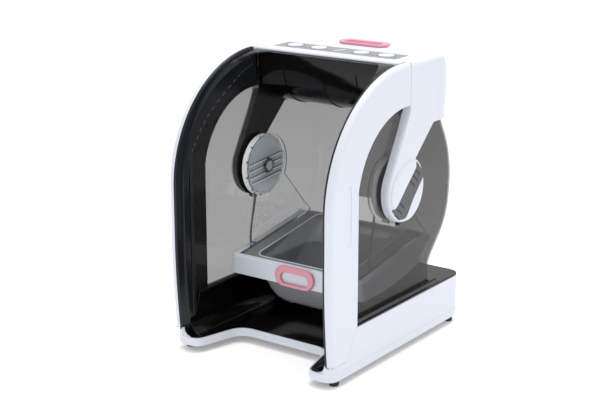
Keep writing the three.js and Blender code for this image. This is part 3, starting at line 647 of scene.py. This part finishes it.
def cheeks_and_arms():
    """Each side of the head with its arm and hub boss, as one moulding with softened edges. The left arm's
    side walls are coloured dark grey as painted shade, while the right arm's stay white.
    """
    face_look, inside_look, wall_look = 0, 1, 2
    seam_edge, arm_edge, front_boss_edge, rear_boss_edge = 0.4, 3.5, 4, 2
    boss = arc(0, HUB_Z, BOSS_R, BOSS_R, math.pi - 0.51, 2 * math.pi + 1.026, 64)
    path = [(SEAM, TOP), (SEAM, ARM_TOP - 1), (-9, 401)] + boss
    path += [(89, HEAD_LOW), (HEAD_SPLIT, HEAD_LOW), (HEAD_SPLIT, TOP)]
    sizes = [seam_edge, arm_edge, arm_edge]
    sizes += [front_boss_edge if k < 30 else rear_boss_edge for k in range(len(boss))]
    sizes += [0, 0, EDGE]
    steps = 6
    rings = [side_view(path, FRAME_IN - 0.2)]
    for k in range(steps + 1):
        turn = math.pi / 2 * k / steps
        inner = drawn_in(path, [size * (1 - math.cos(turn)) for size in sizes])
        rings.append(side_view(inner, HALF - EDGE * (1 - math.sin(turn))))
    part = Part().skin(rings[:4], caps=False)
    part.looks = [face_look if max(part.vertices[i][2] for i in face) > ARM_TOP else wall_look
                  for face in part.faces]
    part.skin(rings[3:], caps=False, look=face_look)
    whole = [list(range(len(path)))]
    part.add(rings[0], whole, inside_look)
    part.add(rings[-1], whole, face_look)
    # the same side walls are white on the right and dark grey on the left: painted shade on the far arm
    for side, shape, wall in (("right", part, WHITE), ("left", part.mirrored(), LEFT_ARM_SHADE)):
        shape.make(f"cheek_and_arm_{side}", [WHITE, BLACK_INNER, wall], "white_plastic",
                   stands_for=[f"arm_{side}"], rounding=0)


def head_top():
    """Top of the head between the cheeks, with a rounded brow over the opening."""
    brow_low = TOP - 7.5
    wall = 3
    half = FRAME_IN - 0.2
    brow = rounded([(HEAD_FRONT, brow_low, 0), (HEAD_FRONT, TOP, 5), (SEAM, TOP, 0)], closed=False)
    underside = [(HEAD_SPLIT, TOP - wall), (HEAD_FRONT + wall, TOP - wall), (HEAD_FRONT + wall, brow_low)]
    part = Part()
    part.prism(brow + [(HEAD_SPLIT, TOP)] + underside, -half, half)
    top = part.make("head_top_cover", [WHITE], "white_plastic", stands_for=["head_cover"], rounding=0)
    carve(top, button_holes())


def head_rear():
    """Rear of the head: level rings whose corners are rounded in plan and that close in at the top."""
    corner = 48
    dome = 44
    centre_x, centre_y = HALF - corner, HEAD_REAR - corner
    profile = [(158, HEAD_LOW), (153, 412)] + quadratic((151, 417), (149, 421), (152, 425), 4)
    profile += quadratic((159, 432), (HEAD_REAR, 437), (HEAD_REAR, 443), 4)
    profile += arc(HEAD_REAR - dome, TOP - dome, dome, dome, 0, math.pi / 2, 14)
    levels = [TOP - EDGE + EDGE * math.sin(math.pi / 12 * k) for k in range(7)]
    rings = []
    for z in sorted({height for _, height in profile} | set(levels)):
        rear = [a[0] + (b[0] - a[0]) * (z - a[1]) / max(1e-9, b[1] - a[1])
                for a, b in zip(profile, profile[1:]) if a[1] <= z <= b[1]][0]
        above = max(0, z - (TOP - EDGE))
        side = HALF - EDGE + math.sqrt(max(0, EDGE ** 2 - above ** 2))
        turn = arc(centre_x, centre_y, side - centre_x, rear - centre_y, 0, math.pi / 2, 12)
        half = [(side, HEAD_SPLIT)] + turn
        rings.append(plan_view(half + [(-x, y) for x, y in reversed(half)], z))
    part = Part().skin(rings, closed=False, caps=False)
    part.add(rings[-1], [list(range(len(rings[-1])))])
    part.make("head_rear_cover", [WHITE, BLACK_INNER], "white_plastic", rounding=0, wall=3, inner_look=1)


def lobe():
    """Smooth raised lobe on each boss, in rings that close in over its middle."""
    outline = spline([(29, 36), (15, 22), (-12, -3), (-34, -24), (-44, -25), (-50, -12), (-50, 4), (-42, 22),
                      (-24, 40), (-2, 48), (16, 49), (27, 45), (29, 36)], 5)[:-1]
    centre_y, centre_z = -14, 12
    rise = 4.3
    tip = 0.03
    steps = 8
    rings = []
    for step in range(steps + 1):
        turn = math.pi / 2 * step / steps
        scale = math.cos(turn) ** 0.55 if step < steps else tip
        ring = [(centre_y + (y - centre_y) * scale, centre_z + (z - centre_z) * scale) for y, z in outline]
        rings.append(hub_view(ring, HALF - 0.4 + rise * math.sin(turn) ** 0.6))
    part = Part().skin(rings)
    both_sides(part, "boss_lobe", [WHITE], "white_plastic", rounding=0)


def grip_band():
    """Dark slanted band across a boss, ribbed at both ends, and a small nub under the boss."""
    outline = rounded([(-48, -27, 3), (-26, -49, 10), (0, -52, 10), (22, -22, 10), (55, 12, 4), (51, 25, 4),
                       (32, 44, 3), (10, 14, 8), (-20, -16, 8)])
    rib = [(-4, -3.6), (3, -7.5), (10, -14.4), (9.4, -16.4), (3, -9.8), (-4.8, -5.6)]
    pitch_y, pitch_z = 8.4, 8.2
    part = Part().skin([hub_view(outline, x) for x in (HALF - 3, HALF + 0.5)])
    for step in (-4, -3, -2, 2, 3, 4):
        bar = [(y + step * pitch_y, z + step * pitch_z) for y, z in rib]
        part.skin([hub_view(bar, x) for x in (HALF, HALF + 1.3)], look=1)
    both_sides(part, "grip_band_cover", [GREY, BLACK_INNER], "grey_plastic", stands_for=["grip_band"],
               rounding=0.35)
    oval = [(y - 9, z - 60) for y, z in ellipse(4, 3.4, 16)]
    nub = Part().skin([hub_view(oval, x) for x in (FRAME_IN + 1, FRAME_IN + 8)])
    both_sides(nub, "boss_nub", [BLACK], "black_plastic", rounding=0.6)


# ------------ hood, visor and roof lining
def hood():
    """Smoked drum: two flat sides and a curved rear wall, with rounded corners between and a port behind."""
    corner = 20
    tapers_at, taper_height = 150, 55
    steps = 6
    rear = [(144, HOOD_TOP)] + spline(HOOD_CURVE)
    radius = [corner * (1 - 0.5 * max(0, tapers_at - z) / taper_height) for _, z in rear]
    rings = []
    for k in range(steps + 1):
        turn = math.pi / 2 * k / steps
        inward = shifted(rear, [r * (math.sin(turn) - 1) for r in radius])
        rings.append([(HOOD_X - r * (1 - math.cos(turn)), HUB_Y + y, z) for r, (y, z) in zip(radius, inward)])
    mirrored = [[(-x, y, z) for x, y, z in ring] for ring in reversed(rings)]
    part = Part().skin(rings + mirrored, closed=False, caps=False)
    arch = REACH_Z - 7
    front = arc(0, HUB_Z, arch, arch, math.pi - math.asin((HOOD_TOP - HUB_Z) / arch), math.pi, 20)
    front += [(-arch, RAIL + 0.4), (WELL_REAR + 8.2, RAIL + 0.4)]
    edge = shifted(rear, [-r for r in radius])
    for side in (1, -1):
        loop = side_view(edge[::-1] + front, side * HOOD_X)
        part.add(loop, [list(range(len(loop)))])
    wall = part.make("rear_hood_cover", [SMOKE], "smoked_plastic", stands_for=["rear_hood"],
                     rounding=0, wall=3)
    outline = rectangle(-52, 52, 152, 212, 12)
    port = Part().skin([[(x, HUB_Y + y, z) for x, z in outline] for y in (120, 260)])
    carve(wall, port)


def visor():
    """Smoked corners of the opening, joined by a narrow strip along the head's front edge."""
    side = TRIM_X - 0.4
    radius = REACH_Z - 3.6
    front = HEAD_FRONT - GAP
    corner_width, corner_depth, strip_depth = 44, 73, 5
    across, along = 40, 8
    columns = []
    for k in range(across + 1):
        x = -side + 2 * side * k / across
        share = max(0, (abs(x) - (side - corner_width)) / corner_width)
        depth = strip_depth + corner_depth * share ** 2.4
        rows = [front - depth * row / along for row in range(along + 1)]
        columns.append([(x, HUB_Y + y, HUB_Z + math.sqrt(radius ** 2 - y * y)) for y in rows])
    part = Part().skin(columns, closed=False, caps=False)
    part.make("visor_cover", [SMOKE], "smoked_plastic", stands_for=["visor"], rounding=0, wall=2.4)


def roof_lining():
    """Glossy black underside of the head, with thin ribs that run back from its front edge."""
    side = TRIM_X - 0.4
    front = HEAD_FRONT + 3.6
    rib = bezier((front, TOP - 26), (8, 430), (30, 412), (90, 408), 14)
    underside = [(front, TOP - 6)] + rib + [(140, 404)]
    part = Part()
    part.prism(underside + shifted(underside, [3] * len(underside))[::-1], -side, side)
    rib_foot = [(y, z - 1.8) for y, z in reversed(rib)]
    for x in (-92, -8, 64):
        part.prism(rib + rib_foot, x - 0.7, x + 0.7)
    part.make("head_liner_cover", [BLACK], "black_plastic", stands_for=["head_liner"], rounding=1.2)


# ------------ controls
def turned(profile, centre):
    """A body about an upright axis, through (radius, height) points."""
    return Part().skin([[(centre[0] + r * a, centre[1] + r * b, centre[2] + h) for r, h in profile]
                        for a, b in ellipse(1, 1, 48)], closed=False, wrap=True)


def button_holes():
    """Cutter for the holes that the button caps move in."""
    holes = Part()
    for x in BUTTONS:
        holes.slab([(x + a, PANEL_Y + b) for a, b in ellipse(15.5, 15.5, 48)], TOP - 9, TOP + 4)
    return holes


def controls():
    """Panel film with printed rings and squares, a slanted light bar and four dished button caps."""
    part = Part()
    part.slab(rectangle(-128, 128, PANEL_Y - 24, PANEL_Y + 24, 2), TOP - 0.6, TOP + 0.35)
    film = part.make("control_panel_film", [PANEL], "panel_film", stands_for=["control_panel"], rounding=0.2)
    carve(film, button_holes())
    ring = [(15.9, 0.3), (17.1, 0.3), (17.1, 0.5), (15.9, 0.5), (15.9, 0.3)]
    marks = Part()
    for x in BUTTONS:
        marks.join(turned(ring, (x, HUB_Y + PANEL_Y, TOP)))
        for left in (x + 20, x + 25, x + 30):
            marks.slab(rectangle(left, left + 3, PANEL_Y - 12, PANEL_Y - 9), TOP + 0.3, TOP + 0.45)
    marks.make("panel_marks", [PRINT], "panel_film", rounding=0)
    bar = [(-6.5, PANEL_Y - 11), (-1.5, PANEL_Y - 11), (6.5, PANEL_Y + 11), (1.5, PANEL_Y + 11)]
    light = Part()
    light.slab(bar, TOP + 0.3, TOP + 0.8)
    light.make("display_bar_cover", [LIGHT_LINE], "clear_plastic", stands_for=["display_bar"], rounding=0.2)
    for number, x in enumerate(BUTTONS, 1):
        middle_height = 0.2 if number < 3 else 0.5
        dish = [(0.01, middle_height), (5, 0.5), (9, 1.3), (12.5, 1.9), (14.2, 1.5), (15, 0.4), (15, -2.2),
                (0.01, -2.2)]
        cap = turned(dish, (x, HUB_Y + PANEL_Y, TOP))
        button = f"button_{number}"
        cap.make(f"button_cap_{number}", [WHITE], "white_plastic", button, [button], rounding=0)


# ------------ base
def base_plan(inset):
    """Plan of the base, drawn in by a distance: two toes with a recess between them."""
    side = HALF - inset
    toe_x, toe_y = 118 + inset, BASE_FRONT + inset
    recess_x, recess_y = 94 + inset, -127 + inset
    corner, inner_corner = 26, 18
    rear = [(side, BASE_REAR - inset, corner), (-side, BASE_REAR - inset, corner)]
    left = [(-side, toe_y, corner), (-toe_x, toe_y, inner_corner), (-recess_x, recess_y, corner)]
    right = [(-x, y, radius) for x, y, radius in reversed(left)]
    return rounded(rear + left + right, 8)


def dense(outline, longest):
    """The closed outline with long edges divided."""
    points = []
    for a, b in zip(outline, outline[1:] + outline[:1]):
        steps = max(1, math.ceil((Vector(b) - Vector(a)).length / longest))
        points += divided(a, b, steps)[:-1]
    return points


def wall_top(x, y):
    """Height of the base's wall: high at the sides and rear, low on the toes and round the recess."""
    if y > WINDOW_FRONT:
        return BASE_TOP if abs(x) > TRIM_X + 2 or y > 0 else LIP
    if abs(x) < TRIM_X + 4.5:
        return LIP
    joint = foot_joint()
    if y <= joint[-1][0]:
        return TOE
    for (y0, z0), (y1, z1) in zip(joint, joint[1:]):
        if y1 <= y <= y0:
            return z1 + (z0 - z1) * (y - y1) / max(1e-6, y0 - y1) - GAP
    return BASE_TOP


def base():
    """White wall round the base, with a hole for the power inlet and a seam line along each side."""
    plan = dense(base_plan(0), 2.5)
    rings = []
    for (x, y), (nx, ny) in zip(plan, normals(plan, closed=True)):
        top = wall_top(x, y)
        section = [(3, FOOT_TOP), (2.4, FOOT_TOP), (0.8, FOOT_TOP + 0.7), (0, FOOT_TOP + 2.6), (0, top - 1.2),
                   (0.4, top - 0.35), (1.2, top), (3, top)]
        rings.append([(x + nx * d, HUB_Y + y + ny * d, z) for d, z in section])
    part = Part().skin(rings, wrap=True)
    shell = part.make("base_cover", [WHITE], "white_plastic", stands_for=["base_shell"], rounding=0)
    low, high = low_mm("power_inlet"), high_mm("power_inlet")
    outline = rectangle(low.x - GAP, high.x + GAP, low.z - GAP, high.z + GAP, 3)
    hole = Part().skin([[(x, y, z) for x, z in outline] for y in (high.y - 20, high.y + 20)])
    carve(shell, hole)
    root, proud = HALF - 0.5, HALF + 0.12
    section = ((root, -0.5), (proud, -0.3), (proud, 0.3), (root, 0.5))
    path = ((-200, 19), (-186, LIP), (196, LIP))
    seam = Part().skin([[(x, HUB_Y + y, z + d) for x, d in section] for y, z in path])
    both_sides(seam, "base_seam", [WHITE_SHADED], "white_plastic", rounding=0)


def tub():
    """Glossy black well between the toes, with the deck beside and behind it, and painted highlight lines on
    two thin rails.
    """
    floor_top = LIP - 0.2
    fillet = 30
    toe_rear = -187
    curve = [(fillet - a, floor_top + fillet - b) for a, b in arc(0, 0, fillet, fillet, 0, math.pi / 2, 8)]
    rings = []
    path = u_path(TRIM_X, -206, WELL_REAR - 3, radius=24, steps=8, divisions=20)
    for (x, y), (nx, ny) in zip(path, normals(path)):
        top = RAIL if y > toe_rear else floor_top + fillet
        section = [(-3, top - 1), (-2, top), (-1, top), (0, top - 1)] + curve
        section += [(fillet, floor_top - 2), (-3, floor_top - 2)]
        rings.append([(x + nx * d, HUB_Y + y + ny * d, z) for d, z in section])
    part = Part()
    part.slab([(x, min(y, WELL_REAR)) for x, y in base_plan(3.3)], LIP - 3.5, floor_top)
    part.skin(rings)
    edge = HALF - 0.4
    front, rear = WINDOW_FRONT + 1, BASE_REAR - 0.4
    well = [(-TRIM_X, front, 0), (-TRIM_X, WELL_REAR - 3, 0), (TRIM_X, WELL_REAR - 3, 0), (TRIM_X, front, 0)]
    deck = rounded([(edge, front, 0), (edge, rear, 26), (-edge, rear, 26), (-edge, front, 0)] + well)
    part.slab(deck, BASE_TOP + GAP, DECK)
    end = WELL_REAR + 26
    # the two thin rails take the light grey second look: painted highlight lines along the black steps
    for x0, x1, top, look in ((154.7, 158, RAIL, 0), (159.4, 160.4, DECK + 2.4, 1),
                              (163.4, 164.2, DECK + 1.6, 1)):
        soft = (x1 - x0) * 0.3
        for sign in (1, -1):
            rail = rounded([(sign * x0, front, 0), (sign * x1, front, 0), (sign * x1, end, soft),
                            (sign * x0, end, soft)])
            part.slab(rail, DECK - 1, top, look)
    part.make("tub_cover", [BLACK, RAIL_HIGHLIGHT], "black_plastic", stands_for=["tub_liner"], rounding=1.0)


def toe_corners():
    """White web that rounds the corner between each toe and the frame above it."""
    size = 15
    left, right = TRIM_X + 4 - size, TRIM_X + 6.5
    high = LIP + size - 0.3
    corner = arc(left, high, size, size, -math.pi / 2, 0, 10)
    outline = [(right, high), (right, LIP - 0.6), (left, LIP - 0.6)] + corner
    web = Part().skin([[(x, HUB_Y + y, z) for x, z in outline] for y in (BASE_FRONT + 2.5, BASE_FRONT + 7)])
    both_sides(web, "toe_corner_web", [WHITE], "white_plastic", rounding=0.6)


# ------------ pull rings
def stadium(length, height, drop=0.0):
    """A long outline with half-round ends, centred at (0, -drop)."""
    reach, radius = (length - height) / 2, height / 2
    right = arc(reach, -drop, radius, radius, -math.pi / 2, math.pi / 2, 14)
    left = arc(-reach, -drop, radius, radius, math.pi / 2, 3 * math.pi / 2, 14)
    return right + left


def pull_ring(node, length, lug_depth, place):
    """Rounded stadium ring with two hinge lugs; place maps its own (x, y, z) to the machine."""
    height = 38
    hole_length, hole_height, hole_drop = length - 24, 20, 3
    lug_half, lug_y, lug_wide = 2.4, 13.2, 4.6
    soft, thick = 1.7, 4.9
    profile = [(soft, 0), (0.5, 0.5), (0, soft), (0, thick - soft), (0.5, thick - 0.5), (soft, thick)]
    rings = []
    for inset, z in profile:
        rings.append([(x, y, z) for x, y in stadium(length - 2 * inset, height - 2 * inset)])
    for inset, z in reversed(profile):
        hole = stadium(hole_length + 2 * inset, hole_height + 2 * inset, hole_drop)
        rings.append([(x, y, z) for x, y in hole])
    part = Part().skin(rings, wrap=True)
    for x in RING_LUGS:
        foot = rectangle(x - lug_half, x + lug_half, lug_y, lug_y + lug_wide)
        part.skin([[(a, b, z) for a, b in foot] for z in (-lug_depth, 1)])
    part.moved(place)
    part.make(f"{node}_ring", [PINK], "pink_plastic", node, [node], rounding=0)


def pull_rings():
    """The ring lying on the head and the ring leaning against the tray's front."""
    pull_ring("top_handle", 104, 4.6, lambda v: (v[0], HUB_Y + 124 + v[1], TOP + GAP + v[2]))
    lean = math.pi / 2 - math.atan2(7, 35)

    def on_tray(v):
        (y, z), = rotated([v[1:]], lean)
        return swung([(v[0], -117.3 + y, -151.5 + z)])[0]

    pull_ring("tray_pull", 84, 0.2, on_tray)


# ------------ tray
def tray_section(depth, facing):
    """Section of the tray's frame, as (distance in, height). facing is 1 on the front bar, 0 at the sides."""
    foot, top = TRAY_TOP - depth, TRAY_TOP + 0.8
    inner, ledge = 3 + 11 * facing, 14.5

    def slope(height):
        return 0.2 * facing * (height - foot)

    outside = [(1.6, foot), (0.5 + slope(foot + 1), foot + 0.7), (slope(foot + 3), foot + 3),
               (slope(top - 6), top - 6), (0.7 + slope(top - 3.6), top - 3.6),
               (2.2 + slope(top - 1.4), top - 1.4), (4 + slope(top), top - 0.3), (6 + slope(top), top)]
    inside = [(ledge - 0.6, top - 0.2), (ledge, top - 0.9), (ledge, top - 3), (inner, top - 3)]
    return [(inner, foot)] + outside + inside


def tray_frame():
    """Front bar and side skirts of the tray as one moulding, with a flat ledge inside."""
    bar_depth = 35
    rear = TRAY_REAR - 1
    skirt_front = TRAY_FRONT + 15
    tapers_at = 0.75
    rings = []
    path = u_path(TRAY_HALF, rear, TRAY_FRONT, radius=13, steps=10, divisions=26)
    for (x, y), (nx, ny) in zip(path, normals(path)):
        facing = abs(ny)
        back = min(1, max(0, (y - skirt_front) / (rear - skirt_front)))
        if back < tapers_at:
            skirt = bar_depth + 9 * math.sin(math.pi * min(1, back * 1.15))
        else:
            skirt = 40 * (1 - back) / (1 - tapers_at) + 3
        section = tray_section(bar_depth * facing + skirt * (1 - facing), facing)
        rings.append(swung([(x - nx * d, y - ny * d, h) for d, h in section]))
    part = Part().skin(rings)
    part.make("tray_frame", [WHITE], "white_plastic", "tray",
              ["tray_front", "tray_skirt_right", "tray_skirt_left"], rounding=0)


def tray_bin():
    """Translucent bin: a flat flange, then walls that close in towards a shallow rear and deep front."""
    levels = [  # half width, front, rear, corner, height above the tray's top
        (125, -104.5, 109, 8, 0), (100, -99, 104, 20, 0), (98, -98, 102, 20, -1.5),
        (97.5, -97.7, 100, 22, -12), (97, -97.4, 96, 24, -22), (96, -97, 78, 26, -34),
        (94, -96.6, 54, 28, -46), (91, -96, 32, 30, -57), (87, -95, 10, 32, -68),
        (81, -93, -10, 32, -77), (72, -89, -24, 30, -85), (60, -82, -34, 22, -90),
        (48, -74, -42, 14, BIN_FLOOR),
    ]
    rings = []
    for x, front, rear, corner, height in levels:
        rings.append(swung([(a, b, TRAY_TOP + height) for a, b in rectangle(-x, x, front, rear, corner)]))
    part = Part().skin(rings, caps=False)
    part.add(rings[-1], [list(range(len(rings[-1])))])
    part.make("tray_bin_cover", [FROSTED], "frosted_plastic", "tray", ["tray_bin"], rounding=0, wall=2.2)
    path = rectangle(-99.5, 99.5, -99, 103.5, 20, 8)
    bead = ((-1.1, 0), (-0.8, 0.9), (0.8, 0.9), (1.1, 0))
    rim = Part()
    rim.skin([swung([(x + nx * d, y + ny * d, TRAY_TOP + h) for d, h in bead])
              for (x, y), (nx, ny) in zip(path, normals(path, closed=True))], wrap=True)
    rim.make("tray_bin_rim", [DISC_RIB], "frosted_plastic", "tray", rounding=0)


# ------------ hub discs and hanger plates
def hub_piece(profile, steps=64):
    """A ring about the hub axis through (x, radius) points."""
    return Part().skin([[(x, HUB_Y + r * a, HUB_Z + r * b) for x, r in profile]
                        for a, b in ellipse(1, 1, steps)], wrap=True)


def hub_discs():
    """Clear disc at the inner end of each hub, with slanted ribs and two round ridges."""
    face = 132
    disc = hub_piece([(face + 1.6, SHAFT_HOLE_R), (face + 1.6, 50), (face, 50.6), (face, DISC_R),
                      (138.2, DISC_R), (138.6, DISC_R - 1), (138.6, SHAFT_HOLE_R)])
    for rib in (-26, -15, -2, 10):
        for offset, wide, look in ((rib, 1.3, 1), (rib + 2.6, 0.7, 2)):
            half = math.sqrt(50.5 ** 2 - offset ** 2)
            bar = rotated(rectangle(-half, half, offset - wide, offset + wide), math.radians(5))
            disc.skin([hub_view(bar, x) for x in (face - 0.1, face + 2)], look=look)
    for radius in (18, 34):
        inner, outer = radius - 0.8, radius + 0.8
        disc.join(hub_piece([(132.4, inner), (132.4, outer), (134, outer), (134, inner)]))
    both_sides(disc, "hub_disc_cover", [DISC_CLEAR, RIM_WHITE, CLEAR_EDGE], "clear_plastic", "cradle",
               ["hub_disc"], rounding=0.3, segments=2)


def disc_rims():
    """White rim round each disc, notched with grey blocks."""
    blocks = 12
    inner = DISC_R + 0.4
    rim = hub_piece([(134.6, inner), (134.6, 56), (135.4, 57.1), (144, 57.1), (144.6, 56.4),
                     (144.6, inner)], steps=72)
    for step in range(blocks):
        block = rotated(rectangle(DISC_R + 0.6, 57.3, -1.4, 1.4), 2 * math.pi * (step + 0.5) / blocks)
        rim.skin([hub_view(block, x) for x in (134.2, 136.4)], look=1)
    both_sides(rim, "disc_rim_cover", [RIM_WHITE, GREY], "white_plastic", "cradle",
               ["disc_rim"], rounding=0.2, segments=2)


def hub_flanges():
    """Grey flange behind each disc."""
    flange = hub_piece([(139.1, SHAFT_HOLE_R), (139.1, 46.5), (140.4, 47.8), (149.4, 47.8), (150.6, 46.6),
                        (150.6, SHAFT_HOLE_R)])
    both_sides(flange, "hub_flange_cover", [GREY], "grey_plastic", "cradle", ["hub_flange"], rounding=0)


def disc_screws():
    """Five dark screw heads round the middle of each disc."""
    screws = 5
    circle = 11.5
    head = [(125.6, 0.01), (125.6, 2.6), (127.4, 3.2), (127.4, 0.01)]
    part = Part()
    for k in range(screws):
        (y, z), = rotated([(circle, 0)], 2 * math.pi * k / screws + math.radians(20))
        part.skin([[(x, HUB_Y + y + r * a, HUB_Z + z + r * b) for x, r in head]
                   for a, b in ellipse(1, 1, 12)], wrap=True)
    both_sides(part, "disc_screws", [BLACK], "bright_steel", "cradle", rounding=0)


def hanger_plates():
    """Clear plates that hang from the discs and carry the tray's rails, with a thick bead at the front."""
    low = TRAY_TOP - 11.6
    outline = quadratic((-46, -38), (-58, -70), (-72, -106), 8)
    outline += quadratic((-72, -106), (-78, -128), (-72, low), 6)[1:]
    outline.append((108, low))
    outline += quadratic((116, TRAY_TOP + 2), (104, TRAY_TOP + 14), (92, -100), 6)
    outline += arc(0, 0, 59, 59, -0.62, math.pi + 0.69, 44)
    faces = [swung([(x, y, z) for y, z in outline]) for x in (127.7, 130.5)]
    part = Part().skin(faces, look=1, cap_looks=(0, 0))
    both_sides(part, "hanger_plate_cover", [CLEAR, CLEAR_EDGE], "clear_plastic", "cradle", ["hanger_plate"],
               rounding=0.4, segments=2)
    path = spline([(-43, -41), (-51, -62), (-64, -92), (-71, -116), (-69, -128), (-60, -131)], 8)
    rings = []
    for (y, z), (ny, nz) in zip(path, normals(path)):
        rings.append(swung([(129.1 + a, y + ny * b, z + nz * b) for a, b in ellipse(1.5, 1.2, 8)]))
    bead = Part().skin(rings)
    both_sides(bead, "hanger_edge_bead", [CLEAR_BEAD], "clear_plastic", "cradle", rounding=0)


# ------------ assembly
set_up_camera()
set_up_light()
set_up_floor()
side_frames()
border_band()
seal_band()
grip_line()
cheeks_and_arms()
head_top()
head_rear()
lobe()
grip_band()
hood()
visor()
roof_lining()
controls()
base()
tub()
toe_corners()
pull_rings()
tray_frame()
tray_bin()
hub_discs()
disc_rims()
hub_flanges()
disc_screws()
hanger_plates()

for foot in ("foot_front", "foot_rear"):
    for side in ("right", "left"):
        carried(f"{foot}_{side}", RUBBER, 0.8)
for side in ("right", "left"):
    for node in ("hub_bearing", "hub_shaft", "disc_clip"):
        carried(f"{node}_{side}", STEEL)
    carried(f"shaft_nut_{side}", GREY)
for node in ("drive_motor", "drive_pinion", "hub_gear"):
    carried(node, STEEL)
for node in ("carrier_rail_right", "carrier_rail_left", "carrier_crossbar"):
    carried(node, FROSTED)
for node in ("control_board", "power_supply"):
    carried(node, BOARD)
carried("bottom_plate", GREY)
carried("power_inlet", BLACK)
